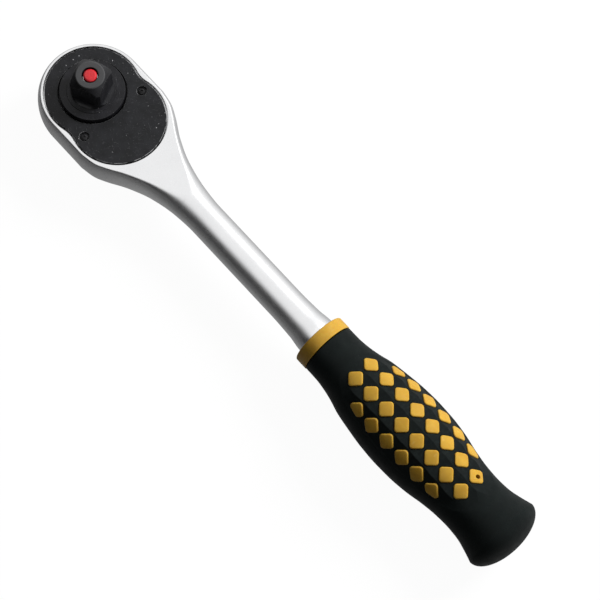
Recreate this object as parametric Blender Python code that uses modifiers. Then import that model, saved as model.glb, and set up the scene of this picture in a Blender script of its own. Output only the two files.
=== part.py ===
"""Reversible half-inch ratchet wrench with a push-button socket release and a two-colour grip.

Units are metres. The origin is the centre of the square drive's outer end. +X runs along the handle
to its butt, +Z points out of the drive. Heights in this file are drawn from the cover plate's outer
face, and an empty that carries every piece brings the drive's end to the origin.
"""

import bisect
import math

import bmesh
import bpy
from mathutils import Matrix

# Head and handle forging
HALF_THICK = 0.00715  # half the thickness of the head
MID_Z = -HALF_THICK  # mid-plane of the head, and the handle's centre line
BACK_FACE = -2 * HALF_THICK
HEAD_RADIUS = 0.0213  # nose and cheeks, at the mid-plane
FLAT_RADIUS = 0.0194  # flat faces of the head
SHANK_RADIUS = 0.00695
SHANK_START, SHANK_END = 0.066, 0.110
FLARE_MIDDLE = (0.1205, 0.0073)
COLLAR_SEAT_RADIUS = 0.0080
COLLAR_SEAT = (0.1270, 0.1311)  # where the shank's flare is full, and where it ends
TANG_RADIUS = 0.0060
TANG_END = 0.2223
CHEEK_END = 0.017  # the head's sides are straight up to here
SHANK = ((SHANK_START, SHANK_RADIUS), (SHANK_END, SHANK_RADIUS), FLARE_MIDDLE,
         (COLLAR_SEAT[0], COLLAR_SEAT_RADIUS), (COLLAR_SEAT[1], COLLAR_SEAT_RADIUS))
NECK_OUTLINE = ((CHEEK_END, HEAD_RADIUS), (0.022, 0.0204), (0.0275, 0.0180), (0.035, 0.01375),
                (0.045, 0.00985), (0.056, 0.0077), *SHANK)
NECK_FLAT = ((CHEEK_END, FLAT_RADIUS), (0.0229, 0.0183), (0.0275, 0.0160), (0.0325, 0.0128),
             (0.042, 0.0077), (0.051, 0.0034), (0.0565, 0.0))
FLAT_END = NECK_FLAT[-1][0]
NECK_HEIGHT = ((FLAT_END, HALF_THICK), *SHANK)

# Cover plate and its seat, two lobes joined by a concave waist
LOBE_SPACING = 0.015
SEAT_RADIUS, PLATE_RADIUS = 0.0188, 0.0184
WAIST_BLEND = 0.010
PLATE_THICK, SEAT_DEPTH = 0.0022, 0.0025
PLATE_HOLE = 0.0133
SCREW_X, SCREW_Y = 0.0121, 0.0143
SCREW_RECESS, SCREW_RECESS_DEPTH = 0.0019, 0.0012
SCREW_HEAD_RADIUS, SCREW_THREAD_RADIUS = 0.00145, 0.0010
SCREW_END = -0.0085

# Mechanism pocket
POCKET_FLOOR = -0.0113
GEAR_BORE = 0.0152
REAR_BORE, REAR_BORE_X = 0.0130, 0.0174
HUB_BORE = 0.0082
BACK_WALL_MIDDLE = -0.0128  # height of the O-rings in the wall between the pocket and the back

# Drive spindle
TEETH = 36
TIP_RADIUS, ROOT_RADIUS = 0.0148, 0.0137
GEAR_TOP, GEAR_BOTTOM = -0.0028, -0.0106
BOSS_RADIUS, BOSS_TOP, BOSS_BOTTOM = 0.0126, 0.00155, -0.0090
SHOULDER_RADIUS, SHOULDER_TOP = 0.0098, 0.0024
SPINDLE_EDGE = 0.0004  # chamfer of the boss and the shoulder
SQUARE = 0.0127  # across the flats
CORNER_RADIUS = 0.0083
DRIVE_END = 0.0153
END_FACE_RADIUS = 0.0051
DRIVE_ANGLE = math.radians(25.3)  # the square's turn about its axis at rest
MILL_RADIUS = 0.0019  # of the cutter whose run-out ends each flat
HUB_RADIUS, HUB_END = 0.0079, -0.0141
HUB_GROOVE_RADIUS, HUB_GROOVE_HALF = 0.0071, 0.0006
HUB_SEAL_RING, HUB_SEAL_SECTION = 0.00762, 0.00045
TIP_BORE, STEM_BORE, BUTTON_BORE = 0.0032, 0.0031, 0.0053
TIP_BORE_END, BUTTON_BORE_TOP = 0.0128, -0.0035

# Thrust washer under the ratchet wheel
WASHER_INNER, WASHER_OUTER = 0.0092, 0.0140
WASHER_TOP, WASHER_BOTTOM = -0.0108, -0.0111

# Socket release: a coned stem holds the ball out until the button moves it towards the tip
BALL_RADIUS = 0.0024
BALL_Z = 0.0073
BALL_GAP = 0.0001
BALL_FLAT = math.radians(90)  # the flat that holds the ball, from the drive's own +X
BALL_HOLE = (0.001, 0.012)  # the ball hole's inner and outer end, from the drive axis
STEM_RADIUS = 0.00275
STEM_TOP, STEM_END = 0.0132, -0.0142
SPIGOT_RADIUS, BUTTON_SOCKET_RADIUS, BUTTON_SOCKET_END = 0.0018, 0.0019, -0.0145
CONE_SLOPE = 0.5  # radius lost for each unit of travel
NECK_RADIUS = 0.0012
RELEASE_TRAVEL = 0.0025
TIP_HEAD_RADIUS, TIP_HEAD_BOTTOM, TIP_EDGE = 0.0028, 0.0134, 0.0005
TIP_PEG_RADIUS, TIP_PEG_END = 0.0012, 0.0110
BUTTON_RADIUS, BUTTON_TOP, BUTTON_END = 0.0050, -0.0110, -0.0174
BUTTON_EDGE, BUTTON_CROWN = 0.0010, 0.0003
SPRING_RADIUS, SPRING_WIRE, SPRING_TURNS = 0.0042, 0.0004, 4.5
SPRING_TOP, SPRING_BOTTOM = -0.0040, -0.0106

# Pawl and reverser
PAWL_X = 0.0182
PAWL_PIN_RADIUS, PAWL_PIN_TOP, PAWL_PIN_END = 0.0015, -0.0026, -0.0131
PAWL_TILT = math.radians(5)
PAWL_TOP, PAWL_BOTTOM = -0.0031, -0.0107
PAWL_BACK_X, PAWL_BACK_RADIUS = 0.0093, 0.0129
PAWL_HALF_SPAN = math.radians(38)
TOOTH_GAP = 0.00015
REVERSER_X = 0.0262
REVERSER_TILT = math.radians(30)
REVERSER_RADIUS = 0.0028
REVERSER_Z = -0.0069  # height of the plunger that leans on the pawl
SHAFT_TOP, SHAFT_END = -0.0034, -0.0160
CLIP_GROOVE, SHAFT_SEAL_GROOVE = (-0.0102, -0.0109), (-0.0123, -0.0133)
SHAFT_GROOVE_DEPTH = 0.00055
CLIP_RADIUS, CLIP_TOP, CLIP_BOTTOM, CLIP_HALF_SLOT = 0.0037, -0.01035, -0.01085, 0.0011
SHAFT_SEAL_RING, SHAFT_SEAL_SECTION = 0.00262, 0.00035
LEVER_TOP, LEVER_BOTTOM = -0.0146, -0.0174
LEVER_HUB, LEVER_TAB, LEVER_REACH = 0.0068, 0.0034, 0.0142
THUMB_RADIUS, THUMB_END, THUMB_EDGE = 0.0030, -0.0190, 0.0006
PLUNGER_RADIUS, PLUNGER_BORE = 0.0011, 0.00125
PLUNGER_START, PLUNGER_END = 0.0005, 0.0036  # along its own axis, from the shaft's
REVERSER_SPRING = (-0.0017, 0.0002)  # the spring's two ends along the same axis
REVERSER_SPRING_RADIUS, REVERSER_SPRING_WIRE = 0.0008, 0.00016

# Grip
GRIP_START, GRIP_SLEEVE_START = 0.1284, 0.1339
COLLAR_RADIUS = 0.0111
GRIP_OUTLINE = ((0.1339, 0.0109), (0.139, 0.01095), (0.144, 0.01145), (0.149, 0.01245), (0.154, 0.0138),
                (0.161, 0.0149), (0.169, 0.01585), (0.1765, 0.0162), (0.184, 0.0160), (0.192, 0.01515),
                (0.1995, 0.0137), (0.206, 0.01285), (0.2115, 0.0126), (0.217, 0.0129), (0.2225, 0.0141),
                (0.2269, 0.0154))
BUTT_END = 0.2347
SLEEVE_WALL = 0.0025
CORE_END = 0.2268
PAD_ROWS = ((-0.0106, 0.1598, 6, 0.00797), (-0.0032, 0.1514, 8, 0.00797),
            (0.0050, 0.1511, 8, 0.00797), (0.0119, 0.1588, 6, 0.00797))  # y, first pad's x, pads, pitch
PAD_SIDE, PAD_CORNER = 0.0052, 0.0010
PAD_DEPTH = 0.0058  # how far a pad's walls run down into the grip
PAD_PROUD = 0.0003
WINDOW_GAP = 0.00022

RUNNING_GAP = 0.0003
PIN_GAP = 0.00006
OVERCUT = 0.002  # how far a cutter stands clear of the faces it opens
WELD = 0.000001


def clear_scene():
    for thing in list(bpy.data.objects):
        bpy.data.objects.remove(thing, do_unlink=True)


def new_collection(name):
    collection = bpy.data.collections.new(name)
    bpy.context.scene.collection.children.link(collection)
    return collection


def material(name, colour, metallic, roughness):
    made = bpy.data.materials.new(name)
    made.use_nodes = True
    shader = made.node_tree.nodes["Principled BSDF"]
    shader.inputs["Base Color"].default_value = (*colour, 1)
    shader.inputs["Metallic"].default_value = metallic
    shader.inputs["Roughness"].default_value = roughness
    return made


clear_scene()
WRENCH = new_collection("ratchet_wrench")
CUTTERS = new_collection("cutters")
FRAME = bpy.data.objects.new("drive_end_frame", None)
WRENCH.objects.link(FRAME)
FRAME.location.z = -DRIVE_END
CHROME = material("satin_chrome", (0.80, 0.80, 0.81), 1.0, 0.28)
BLACK_OXIDE = material("black_oxide", (0.035, 0.035, 0.038), 0.8, 0.45)
BRIGHT_STEEL = material("bright_steel", (0.55, 0.55, 0.56), 1.0, 0.3)
RED = material("red_enamel", (0.62, 0.02, 0.03), 0.0, 0.35)
YELLOW = material("yellow_nylon", (0.83, 0.46, 0.10), 0.0, 0.42)
RUBBER = material("black_rubber", (0.012, 0.016, 0.015), 0.0, 0.6)
SEAL = material("seal_rubber", (0.02, 0.02, 0.02), 0.0, 0.7)


# ---- shape helpers ----

def place(name, mesh, finish, location=(0, 0, 0), rotation=(0, 0, 0)):
    """A part of the wrench, or a helper solid where finish is None."""
    thing = bpy.data.objects.new(name, mesh)
    (WRENCH if finish else CUTTERS).objects.link(thing)
    thing.parent = FRAME
    thing.location = location
    thing.rotation_euler = rotation
    if finish:
        mesh.materials.append(finish)
    else:
        thing.hide_render = True
        thing.display_type = "WIRE"
    return thing


def turned(name, profile, finish, steps=48, location=(0, 0, 0), rotation=(0, 0, 0)):
    """A body turned about its own Z from (radius, height) points, running down its outer side."""
    mesh = bpy.data.meshes.new(name)
    points = [(radius, 0, height) for radius, height in profile]
    edges = [(k, k + 1) for k in range(len(points) - 1)]
    if profile[0][0] > 0:
        edges.append((len(points) - 1, 0))
    mesh.from_pydata(points, edges, [])
    thing = place(name, mesh, finish, location, rotation)
    screw = thing.modifiers.new("turn", "SCREW")
    screw.steps = screw.render_steps = steps
    screw.use_merge_vertices = True
    screw.merge_threshold = WELD
    screw.use_smooth_shade = True
    return thing


def prism(name, outline, low, high, finish, location=(0, 0, 0), rotation=(0, 0, 0)):
    """A flat outline of (x, y) points made solid from height low to height high."""
    curve = bpy.data.curves.new(name, "CURVE")
    curve.dimensions = "2D"
    curve.fill_mode = "BOTH"
    curve.extrude = (high - low) / 2
    spline = curve.splines.new("POLY")
    spline.points.add(len(outline) - 1)
    for point, (x, y) in zip(spline.points, outline):
        point.co = (x, y, 0, 1)
    spline.use_cyclic_u = True
    drawn = bpy.data.objects.new(name + "_outline", curve)
    CUTTERS.objects.link(drawn)
    bpy.context.view_layer.update()
    mesh = bpy.data.meshes.new_from_object(drawn.evaluated_get(bpy.context.evaluated_depsgraph_get()))
    bpy.data.objects.remove(drawn)
    mesh.transform(Matrix.Translation((0, 0, (low + high) / 2)))
    weld_mesh(mesh)
    mesh.name = name
    return place(name, mesh, finish, location, rotation)


def weld_mesh(mesh):
    bm = bmesh.new()
    bm.from_mesh(mesh)
    bmesh.ops.remove_doubles(bm, verts=bm.verts, dist=WELD)
    bmesh.ops.recalc_face_normals(bm, faces=bm.faces)
    bm.to_mesh(mesh)
    bm.free()


def rod(name, radius, low, high, finish, steps=32, location=(0, 0, 0), rotation=(0, 0, 0)):
    profile = [(0, high), (radius, high), (radius, low), (0, low)]
    return turned(name, profile, finish, steps, location, rotation)


def washer(name, inner, outer, low, high, finish, steps, location=(0, 0, 0)):
    profile = [(outer, high), (outer, low), (inner, low), (inner, high)]
    return turned(name, profile, finish, steps, location)


def torus(name, ring, section, location, finish, ring_steps, section_steps=6):
    turns = [2 * math.pi * k / section_steps for k in range(section_steps)]
    profile = [(ring + section * math.sin(turn), section * math.cos(turn)) for turn in turns]
    return turned(name, profile, finish, ring_steps, location)


def boolean(target, tool, operation):
    modifier = target.modifiers.new(operation.lower(), "BOOLEAN")
    modifier.operation = operation
    modifier.solver = "EXACT"
    modifier.object = tool


def cut(target, *tools):
    for tool in tools:
        boolean(target, tool, "DIFFERENCE")


def join(target, *tools):
    for tool in tools:
        boolean(target, tool, "UNION")


def bevel(thing, width, segments=2, angle=40):
    modifier = thing.modifiers.new("bevel", "BEVEL")
    modifier.width = width
    modifier.segments = segments
    modifier.limit_method = "ANGLE"
    modifier.angle_limit = math.radians(angle)


def arc(x, y, radius, start, end, steps):
    """Points on a circle, from the start angle to the end angle."""
    turns = [start + (end - start) * k / steps for k in range(steps + 1)]
    return [(x + radius * math.cos(turn), y + radius * math.sin(turn)) for turn in turns]


def without_repeats(points):
    """The closed outline with each point that sits on the one before it left out."""
    return [p for k, p in enumerate(points) if math.dist(p, points[k - 1]) > WELD]


def smooth_curve(points):
    """A monotone cubic through (x, y) points, as a function of x."""
    xs, ys = zip(*points)
    slopes = [(y1 - y0) / (x1 - x0) for x0, y0, x1, y1 in zip(xs, ys, xs[1:], ys[1:])]
    inner = [2 * a * b / (a + b) if a * b > 0 else 0 for a, b in zip(slopes, slopes[1:])]
    tangents = [slopes[0], *inner, slopes[-1]]

    def value(x):
        x = min(max(x, xs[0]), xs[-1])
        k = min(bisect.bisect_right(xs, x), len(slopes)) - 1
        width = xs[k + 1] - xs[k]
        t = (x - xs[k]) / width
        rise = ys[k + 1] - ys[k]
        bend = tangents[k] * width * (1 - t) - tangents[k + 1] * width * t + rise * (2 * t - 1)
        return ys[k] + rise * t + t * (1 - t) * bend

    return value


def lobed_outline(radius, blend, steps=17):
    """Two circles LOBE_SPACING apart, joined on both sides by concave arcs of radius blend."""
    half = LOBE_SPACING / 2
    blend_y = math.sqrt((radius + blend) ** 2 - half**2)
    meet = math.atan2(blend_y, half)
    rear = arc(LOBE_SPACING, 0, radius, meet - math.pi, math.pi - meet, steps)
    upper = arc(half, blend_y, blend, -meet, meet - math.pi, 4)
    front = arc(0, 0, radius, meet, 2 * math.pi - meet, steps)
    lower = arc(half, -blend_y, blend, math.pi - meet, meet, 4)
    return without_repeats(rear + upper + front + lower)


def gear_outline(tip, root, widen=0.0):
    """The ratchet wheel's symmetrical teeth; widen is an angle added to each side of a tooth."""
    pitch = 2 * math.pi / TEETH
    points = []
    for tooth in range(TEETH):
        for radius, turn in ((root, -0.38), (tip, -0.12), (tip, 0.12), (root, 0.38)):
            angle = (tooth + turn) * pitch + math.copysign(widen, turn)
            points.append((radius * math.cos(angle), radius * math.sin(angle)))
    return points


def belt_outline(big, reach, small, steps=8):
    """A round hub with a tab that tapers to a round end at +X."""
    tangent = math.acos((big - small) / reach)
    hub = arc(0, 0, big, tangent, 2 * math.pi - tangent, 2 * steps)
    return hub + arc(reach, 0, small, -tangent, tangent, steps)


# ---- head and handle ----

def forging_stations():
    """(flat edge, widest point, half height) of one half's sections, from the nose to the tang's end."""
    stations = []
    nose_steps = 10
    for k in range(nose_steps + 1):
        turn = math.pi - math.pi / 2 * k / nose_steps
        ends = [(r * math.cos(turn), r * math.sin(turn)) for r in (FLAT_RADIUS, HEAD_RADIUS)]
        stations.append((*ends, HALF_THICK))
    width, height, flat = smooth_curve(NECK_OUTLINE), smooth_curve(NECK_HEIGHT), smooth_curve(NECK_FLAT)
    start = 0.0
    stretches = ((CHEEK_END, 1), (FLAT_END, 13), (SHANK_START, 2), (SHANK_END, 1), (COLLAR_SEAT[0], 4))
    for end, steps in stretches:
        for k in range(1, steps + 1):
            x = start + (end - start) * k / steps
            stations.append(((x, flat(x)), (x, width(x)), height(x)))
        start = end
    seat_end = COLLAR_SEAT[1]
    for x, radius in ((seat_end, COLLAR_SEAT_RADIUS), (seat_end, TANG_RADIUS), (TANG_END, TANG_RADIUS)):
        stations.append(((x, 0), (x, radius), radius))
    return stations


def forging_section(flat_edge, widest, half_height, steps=12):
    """One half section: the flat top, a side that rounds down from it, and the flat back."""
    points = [(flat_edge[0], 0, MID_Z + half_height)]
    for k in range(steps + 1):
        turn = math.pi * k / steps
        x, y = [a + (b - a) * math.sin(turn) for a, b in zip(flat_edge, widest)]
        points.append((x, y, MID_Z + half_height * math.cos(turn)))
    return points + [(flat_edge[0], 0, MID_Z - half_height)]


def forging():
    """One half lofted from nose to tang, and mirrored across the handle's centre plane."""
    bm = bmesh.new()
    rows = [[bm.verts.new(point) for point in forging_section(*ends)] for ends in forging_stations()]
    for near, far in zip(rows, rows[1:]):
        for k in range(len(near) - 1):
            bm.faces.new((near[k], near[k + 1], far[k + 1], far[k]))
    bm.faces.new(rows[-1])
    bmesh.ops.remove_doubles(bm, verts=bm.verts, dist=WELD)
    bmesh.ops.recalc_face_normals(bm, faces=bm.faces)
    mesh = bpy.data.meshes.new("ratchet_body")
    bm.to_mesh(mesh)
    bm.free()
    mesh.shade_smooth()
    body = place("ratchet_body", mesh, CHROME)
    mirror = body.modifiers.new("mirror", "MIRROR")
    mirror.use_axis = (False, True, False)
    mirror.merge_threshold = WELD * 10
    return body


def ratchet_body():
    body = forging()
    under = BACK_FACE - OVERCUT
    reverser_spot, pin_spot = (REVERSER_X, 0, 0), (PAWL_X, 0, 0)
    reverser_bore = REVERSER_RADIUS + 0.00025
    pin_floor, screw_floor = PAWL_PIN_END - 0.0002, SCREW_END - 0.0007
    cut(body,
        prism("seat_cutter", lobed_outline(SEAT_RADIUS, WAIST_BLEND), -SEAT_DEPTH, OVERCUT, None),
        rod("gear_bore_cutter", GEAR_BORE, POCKET_FLOOR, OVERCUT, None, 36),
        rod("rear_bore_cutter", REAR_BORE, POCKET_FLOOR, OVERCUT, None, 32, (REAR_BORE_X, 0, 0)),
        rod("hub_bore_cutter", HUB_BORE, under, OVERCUT, None, 30),
        rod("reverser_bore_cutter", reverser_bore, under, OVERCUT, None, 24, reverser_spot),
        rod("pin_hole_cutter", PAWL_PIN_RADIUS + PIN_GAP, pin_floor, OVERCUT, None, 20, pin_spot))
    for side in (-1, 1):
        cut(body, rod(f"screw_hole_cutter_{side + 2}", SCREW_THREAD_RADIUS + 0.00015, screw_floor, OVERCUT,
                      None, 16, (SCREW_X, side * SCREW_Y, 0)))
    return body


def cover_plate():
    plate_blend = WAIST_BLEND + SEAT_RADIUS - PLATE_RADIUS
    plate = prism("cover_plate", lobed_outline(PLATE_RADIUS, plate_blend), -PLATE_THICK, 0, BLACK_OXIDE)
    under, chamfer, thread_hole = -PLATE_THICK - OVERCUT, 0.0003, SCREW_THREAD_RADIUS + 0.0002
    hole = [(0, OVERCUT), (PLATE_HOLE + chamfer + OVERCUT, OVERCUT), (PLATE_HOLE, -chamfer),
            (PLATE_HOLE, under), (0, under)]
    cut(plate, turned("plate_hole_cutter", hole, None, 40))
    recess = [(0, OVERCUT), (SCREW_RECESS, OVERCUT), (SCREW_RECESS, -SCREW_RECESS_DEPTH),
              (thread_hole, -SCREW_RECESS_DEPTH), (thread_hole, under), (0, under)]
    for side in (-1, 1):
        spot = (SCREW_X, side * SCREW_Y, 0)
        cut(plate, turned(f"screw_recess_cutter_{side + 2}", recess, None, 20, spot))
    return plate


def cover_screw(name, side):
    """A screw with a low domed head that stays just under the plate's face."""
    head, thread = SCREW_HEAD_RADIUS, SCREW_THREAD_RADIUS
    head_bottom = 0.00015 - SCREW_RECESS_DEPTH
    profile = [(0, -0.00010), (head * 0.5, -0.00016), (head * 0.83, -0.00034), (head, -0.0006),
               (head, head_bottom), (thread, head_bottom), (thread, SCREW_END), (0, SCREW_END)]
    return turned(name, profile, BLACK_OXIDE, 18, (SCREW_X, side * SCREW_Y, 0))


# ---- drive ----

def flat_cutter(index):
    """Mills one flat of the square; the cutter's radius leaves a run-out above the shoulder."""
    flat, low, half_width, outside = SQUARE / 2, SHOULDER_TOP + 0.0001, 0.012, 0.012
    above = DRIVE_END + OVERCUT
    runout = arc(flat + MILL_RADIUS, low + MILL_RADIUS, MILL_RADIUS, math.pi, 1.5 * math.pi, 5)
    outline = [(flat, above), *runout, (outside, low), (outside, above)]
    cutter = prism(f"flat_cutter_{index}", outline, -half_width, half_width, None)
    upright = Matrix.Rotation(math.pi / 2, 4, "X")
    cutter.data.transform(Matrix.Rotation(index * math.pi / 2, 4, "Z") @ upright)
    cutter.rotation_euler.z = DRIVE_ANGLE
    return cutter


def spindle_core():
    """The round shape that the square is milled from, with the boss and the hub below it."""
    edge = SPINDLE_EDGE
    chamfer = CORNER_RADIUS - END_FACE_RADIUS
    groove_top, groove_end = BACK_WALL_MIDDLE + HUB_GROOVE_HALF, BACK_WALL_MIDDLE - HUB_GROOVE_HALF
    profile = [(0, DRIVE_END), (END_FACE_RADIUS, DRIVE_END), (CORNER_RADIUS, DRIVE_END - chamfer),
               (CORNER_RADIUS, SHOULDER_TOP), (SHOULDER_RADIUS - edge, SHOULDER_TOP),
               (SHOULDER_RADIUS, SHOULDER_TOP - edge), (SHOULDER_RADIUS, BOSS_TOP),
               (BOSS_RADIUS - edge, BOSS_TOP), (BOSS_RADIUS, BOSS_TOP - edge), (BOSS_RADIUS, BOSS_BOTTOM),
               (HUB_RADIUS, BOSS_BOTTOM), (HUB_RADIUS, groove_top), (HUB_GROOVE_RADIUS, groove_top),
               (HUB_GROOVE_RADIUS, groove_end), (HUB_RADIUS, groove_end), (HUB_RADIUS, HUB_END),
               (0, HUB_END)]
    return turned("spindle_core", profile, None, 36)


def drive_spindle():
    wheel = gear_outline(TIP_RADIUS, ROOT_RADIUS)
    spindle = prism("drive_spindle", wheel, GEAR_BOTTOM, GEAR_TOP, BLACK_OXIDE)
    join(spindle, spindle_core())
    cut(spindle, *[flat_cutter(index) for index in range(4)])
    above, under = DRIVE_END + OVERCUT, HUB_END - OVERCUT
    bore = [(0, above), (TIP_BORE, above), (TIP_BORE, TIP_BORE_END), (STEM_BORE, TIP_BORE_END),
            (STEM_BORE, BUTTON_BORE_TOP), (BUTTON_BORE, BUTTON_BORE_TOP), (BUTTON_BORE, under), (0, under)]
    across = (0, math.pi / 2, DRIVE_ANGLE + BALL_FLAT)
    cut(spindle, turned("spindle_bore_cutter", bore, None, 24),
        rod("ball_hole_cutter", BALL_RADIUS + BALL_GAP, *BALL_HOLE, None, 24, (0, 0, BALL_Z), across))
    return spindle


def drive_seal():
    """O-ring in the hub's groove, against the bore through the head's back."""
    return torus("drive_seal", HUB_SEAL_RING, HUB_SEAL_SECTION, (0, 0, BACK_WALL_MIDDLE), SEAL, 32)


def thrust_washer():
    return washer("thrust_washer", WASHER_INNER, WASHER_OUTER, WASHER_BOTTOM, WASHER_TOP, BRIGHT_STEEL, 36)


# ---- socket release ----

def ball_reach():
    """The ball centre's distance from the drive axis when its cone holds it out."""
    return STEM_RADIUS + (BALL_RADIUS + BALL_GAP) / math.hypot(1, CONE_SLOPE)


def detent_ball():
    bm = bmesh.new()
    bmesh.ops.create_uvsphere(bm, u_segments=16, v_segments=10, radius=BALL_RADIUS)
    mesh = bpy.data.meshes.new("detent_ball")
    bm.to_mesh(mesh)
    bm.free()
    mesh.shade_smooth()
    turn = DRIVE_ANGLE + BALL_FLAT
    reach = ball_reach()
    return place("detent_ball", mesh, BRIGHT_STEEL, (reach * math.cos(turn), reach * math.sin(turn), BALL_Z))


def release_plunger():
    """Stem with a coned neck that takes the ball, a socket for the tip and a spigot for the button."""
    cone_top = BALL_Z + (BALL_RADIUS + BALL_GAP) * CONE_SLOPE / math.hypot(1, CONE_SLOPE)
    cone_bottom = cone_top - (STEM_RADIUS - NECK_RADIUS) / CONE_SLOPE
    neck_bottom = BALL_Z - RELEASE_TRAVEL - BALL_RADIUS - 0.0005
    foot_chamfer = 0.0008
    foot = BUTTON_TOP + RUNNING_GAP
    profile = [(0, STEM_TOP), (STEM_RADIUS, STEM_TOP), (STEM_RADIUS, cone_top), (NECK_RADIUS, cone_bottom),
               (NECK_RADIUS, neck_bottom), (STEM_RADIUS, neck_bottom - foot_chamfer), (STEM_RADIUS, foot),
               (SPIGOT_RADIUS, foot), (SPIGOT_RADIUS, STEM_END), (0, STEM_END)]
    plunger = turned("release_plunger", profile, BRIGHT_STEEL, 24)
    socket = rod("tip_socket_cutter", TIP_PEG_RADIUS + BALL_GAP, TIP_PEG_END - BALL_GAP * 2,
                 STEM_TOP + OVERCUT, None, 16)
    cut(plunger, socket)
    return plunger


def release_tip():
    """The flat-ended red cap whose face lies level with the drive's end."""
    radius, edge = TIP_HEAD_RADIUS, TIP_EDGE
    profile = [(0, DRIVE_END), (radius - 2 * edge, DRIVE_END), (radius - edge, DRIVE_END - edge * 0.3),
               (radius, DRIVE_END - edge * 1.4), (radius, TIP_HEAD_BOTTOM),
               (TIP_PEG_RADIUS, TIP_HEAD_BOTTOM), (TIP_PEG_RADIUS, TIP_PEG_END), (0, TIP_PEG_END)]
    return turned("release_tip", profile, RED, 24)


def release_button():
    edge = BUTTON_EDGE
    profile = [(0, BUTTON_SOCKET_END), (BUTTON_SOCKET_RADIUS, BUTTON_SOCKET_END),
               (BUTTON_SOCKET_RADIUS, BUTTON_TOP), (BUTTON_RADIUS, BUTTON_TOP),
               (BUTTON_RADIUS, BUTTON_END + edge), (BUTTON_RADIUS - edge * 0.3, BUTTON_END + edge * 0.3),
               (BUTTON_RADIUS - edge, BUTTON_END), (0, BUTTON_END - BUTTON_CROWN)]
    return turned("release_button", profile, BRIGHT_STEEL, 30)


def coil(name, radius, wire, low, high, turns, finish, location=(0, 0, 0), rotation=(0, 0, 0), steps=12):
    """A round-wire compression spring along its own Z."""
    curve = bpy.data.curves.new(name, "CURVE")
    curve.dimensions = "3D"
    curve.bevel_depth = wire
    curve.bevel_resolution = 2
    curve.use_fill_caps = True
    spline = curve.splines.new("POLY")
    count = int(turns * steps)
    spline.points.add(count)
    for k, point in enumerate(spline.points):
        turn = 2 * math.pi * k / steps
        point.co = (radius * math.cos(turn), radius * math.sin(turn), low + (high - low) * k / count, 1)
    thing = bpy.data.objects.new(name, curve)
    WRENCH.objects.link(thing)
    curve.materials.append(finish)
    thing.parent = FRAME
    thing.location = location
    thing.rotation_euler = rotation
    return thing


def release_spring():
    return coil("release_spring", SPRING_RADIUS, SPRING_WIRE, SPRING_BOTTOM, SPRING_TOP, SPRING_TURNS,
                BRIGHT_STEEL)


# ---- pawl and reverser ----

AT_PLUNGER = ((REVERSER_X, 0, REVERSER_Z), (0, -math.pi / 2, REVERSER_TILT))  # its place, and its turn


def pawl():
    """A double-ended rocking pawl; each toe's teeth are the gaps left by the ratchet wheel."""
    clearance = 0.0004
    front = arc(-PAWL_X, 0, ROOT_RADIUS - clearance, -PAWL_HALF_SPAN, PAWL_HALF_SPAN, 16)
    offset = PAWL_BACK_X
    ray_x, ray_y = math.cos(PAWL_HALF_SPAN), math.sin(PAWL_HALF_SPAN)
    reach = offset * ray_x + math.sqrt(PAWL_BACK_RADIUS**2 - (offset * ray_y) ** 2)
    turn = math.atan2(reach * ray_y, reach * ray_x - offset)
    back = arc(offset - PAWL_X, 0, PAWL_BACK_RADIUS, turn, -turn, 16)
    spot, tilt = (PAWL_X, 0, 0), (0, 0, -PAWL_TILT)
    body = prism("pawl", front + back, PAWL_BOTTOM, PAWL_TOP, BRIGHT_STEEL, spot, tilt)
    widen = TOOTH_GAP / TIP_RADIUS
    outline = gear_outline(TIP_RADIUS + TOOTH_GAP, ROOT_RADIUS + TOOTH_GAP, widen)
    about_pin = Matrix.Translation(spot)
    for side in (-1, 1):
        wheel = prism(f"wheel_cutter_{side + 2}", outline, PAWL_BOTTOM - OVERCUT, PAWL_TOP + OVERCUT, None)
        swung = about_pin @ Matrix.Rotation(side * PAWL_TILT - PAWL_TILT, 4, "Z") @ about_pin.inverted()
        wheel.data.transform(swung)
        cut(body, wheel)
    cut(body, rod("pawl_bore_cutter", PAWL_PIN_RADIUS + PIN_GAP, PAWL_BOTTOM - OVERCUT, 0, None, 24, spot))
    return body


def pawl_pin():
    return rod("pawl_pin", PAWL_PIN_RADIUS, PAWL_PIN_END, PAWL_PIN_TOP, BRIGHT_STEEL, 24, (PAWL_X, 0, 0))


def reverser_shaft():
    """The lever's shaft, grooved for the clip and for the O-ring."""
    groove = REVERSER_RADIUS - SHAFT_GROOVE_DEPTH
    profile = [(0, SHAFT_TOP), (REVERSER_RADIUS, SHAFT_TOP)]
    for top, end in (CLIP_GROOVE, SHAFT_SEAL_GROOVE):
        profile += [(REVERSER_RADIUS, top), (groove, top), (groove, end), (REVERSER_RADIUS, end)]
    profile += [(REVERSER_RADIUS, SHAFT_END), (0, SHAFT_END)]
    return turned("reverser_shaft", profile, None, 20, (REVERSER_X, 0, 0))


def thumb_rest():
    x, y = LEVER_REACH * math.cos(REVERSER_TILT), LEVER_REACH * math.sin(REVERSER_TILT)
    edge = THUMB_EDGE
    profile = [(0, SHAFT_END), (THUMB_RADIUS, SHAFT_END), (THUMB_RADIUS, THUMB_END + edge * 1.3),
               (THUMB_RADIUS - edge, THUMB_END + edge * 0.3), (0, THUMB_END)]
    return turned("thumb_rest", profile, None, 20, (REVERSER_X + x, y, 0))


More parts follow.
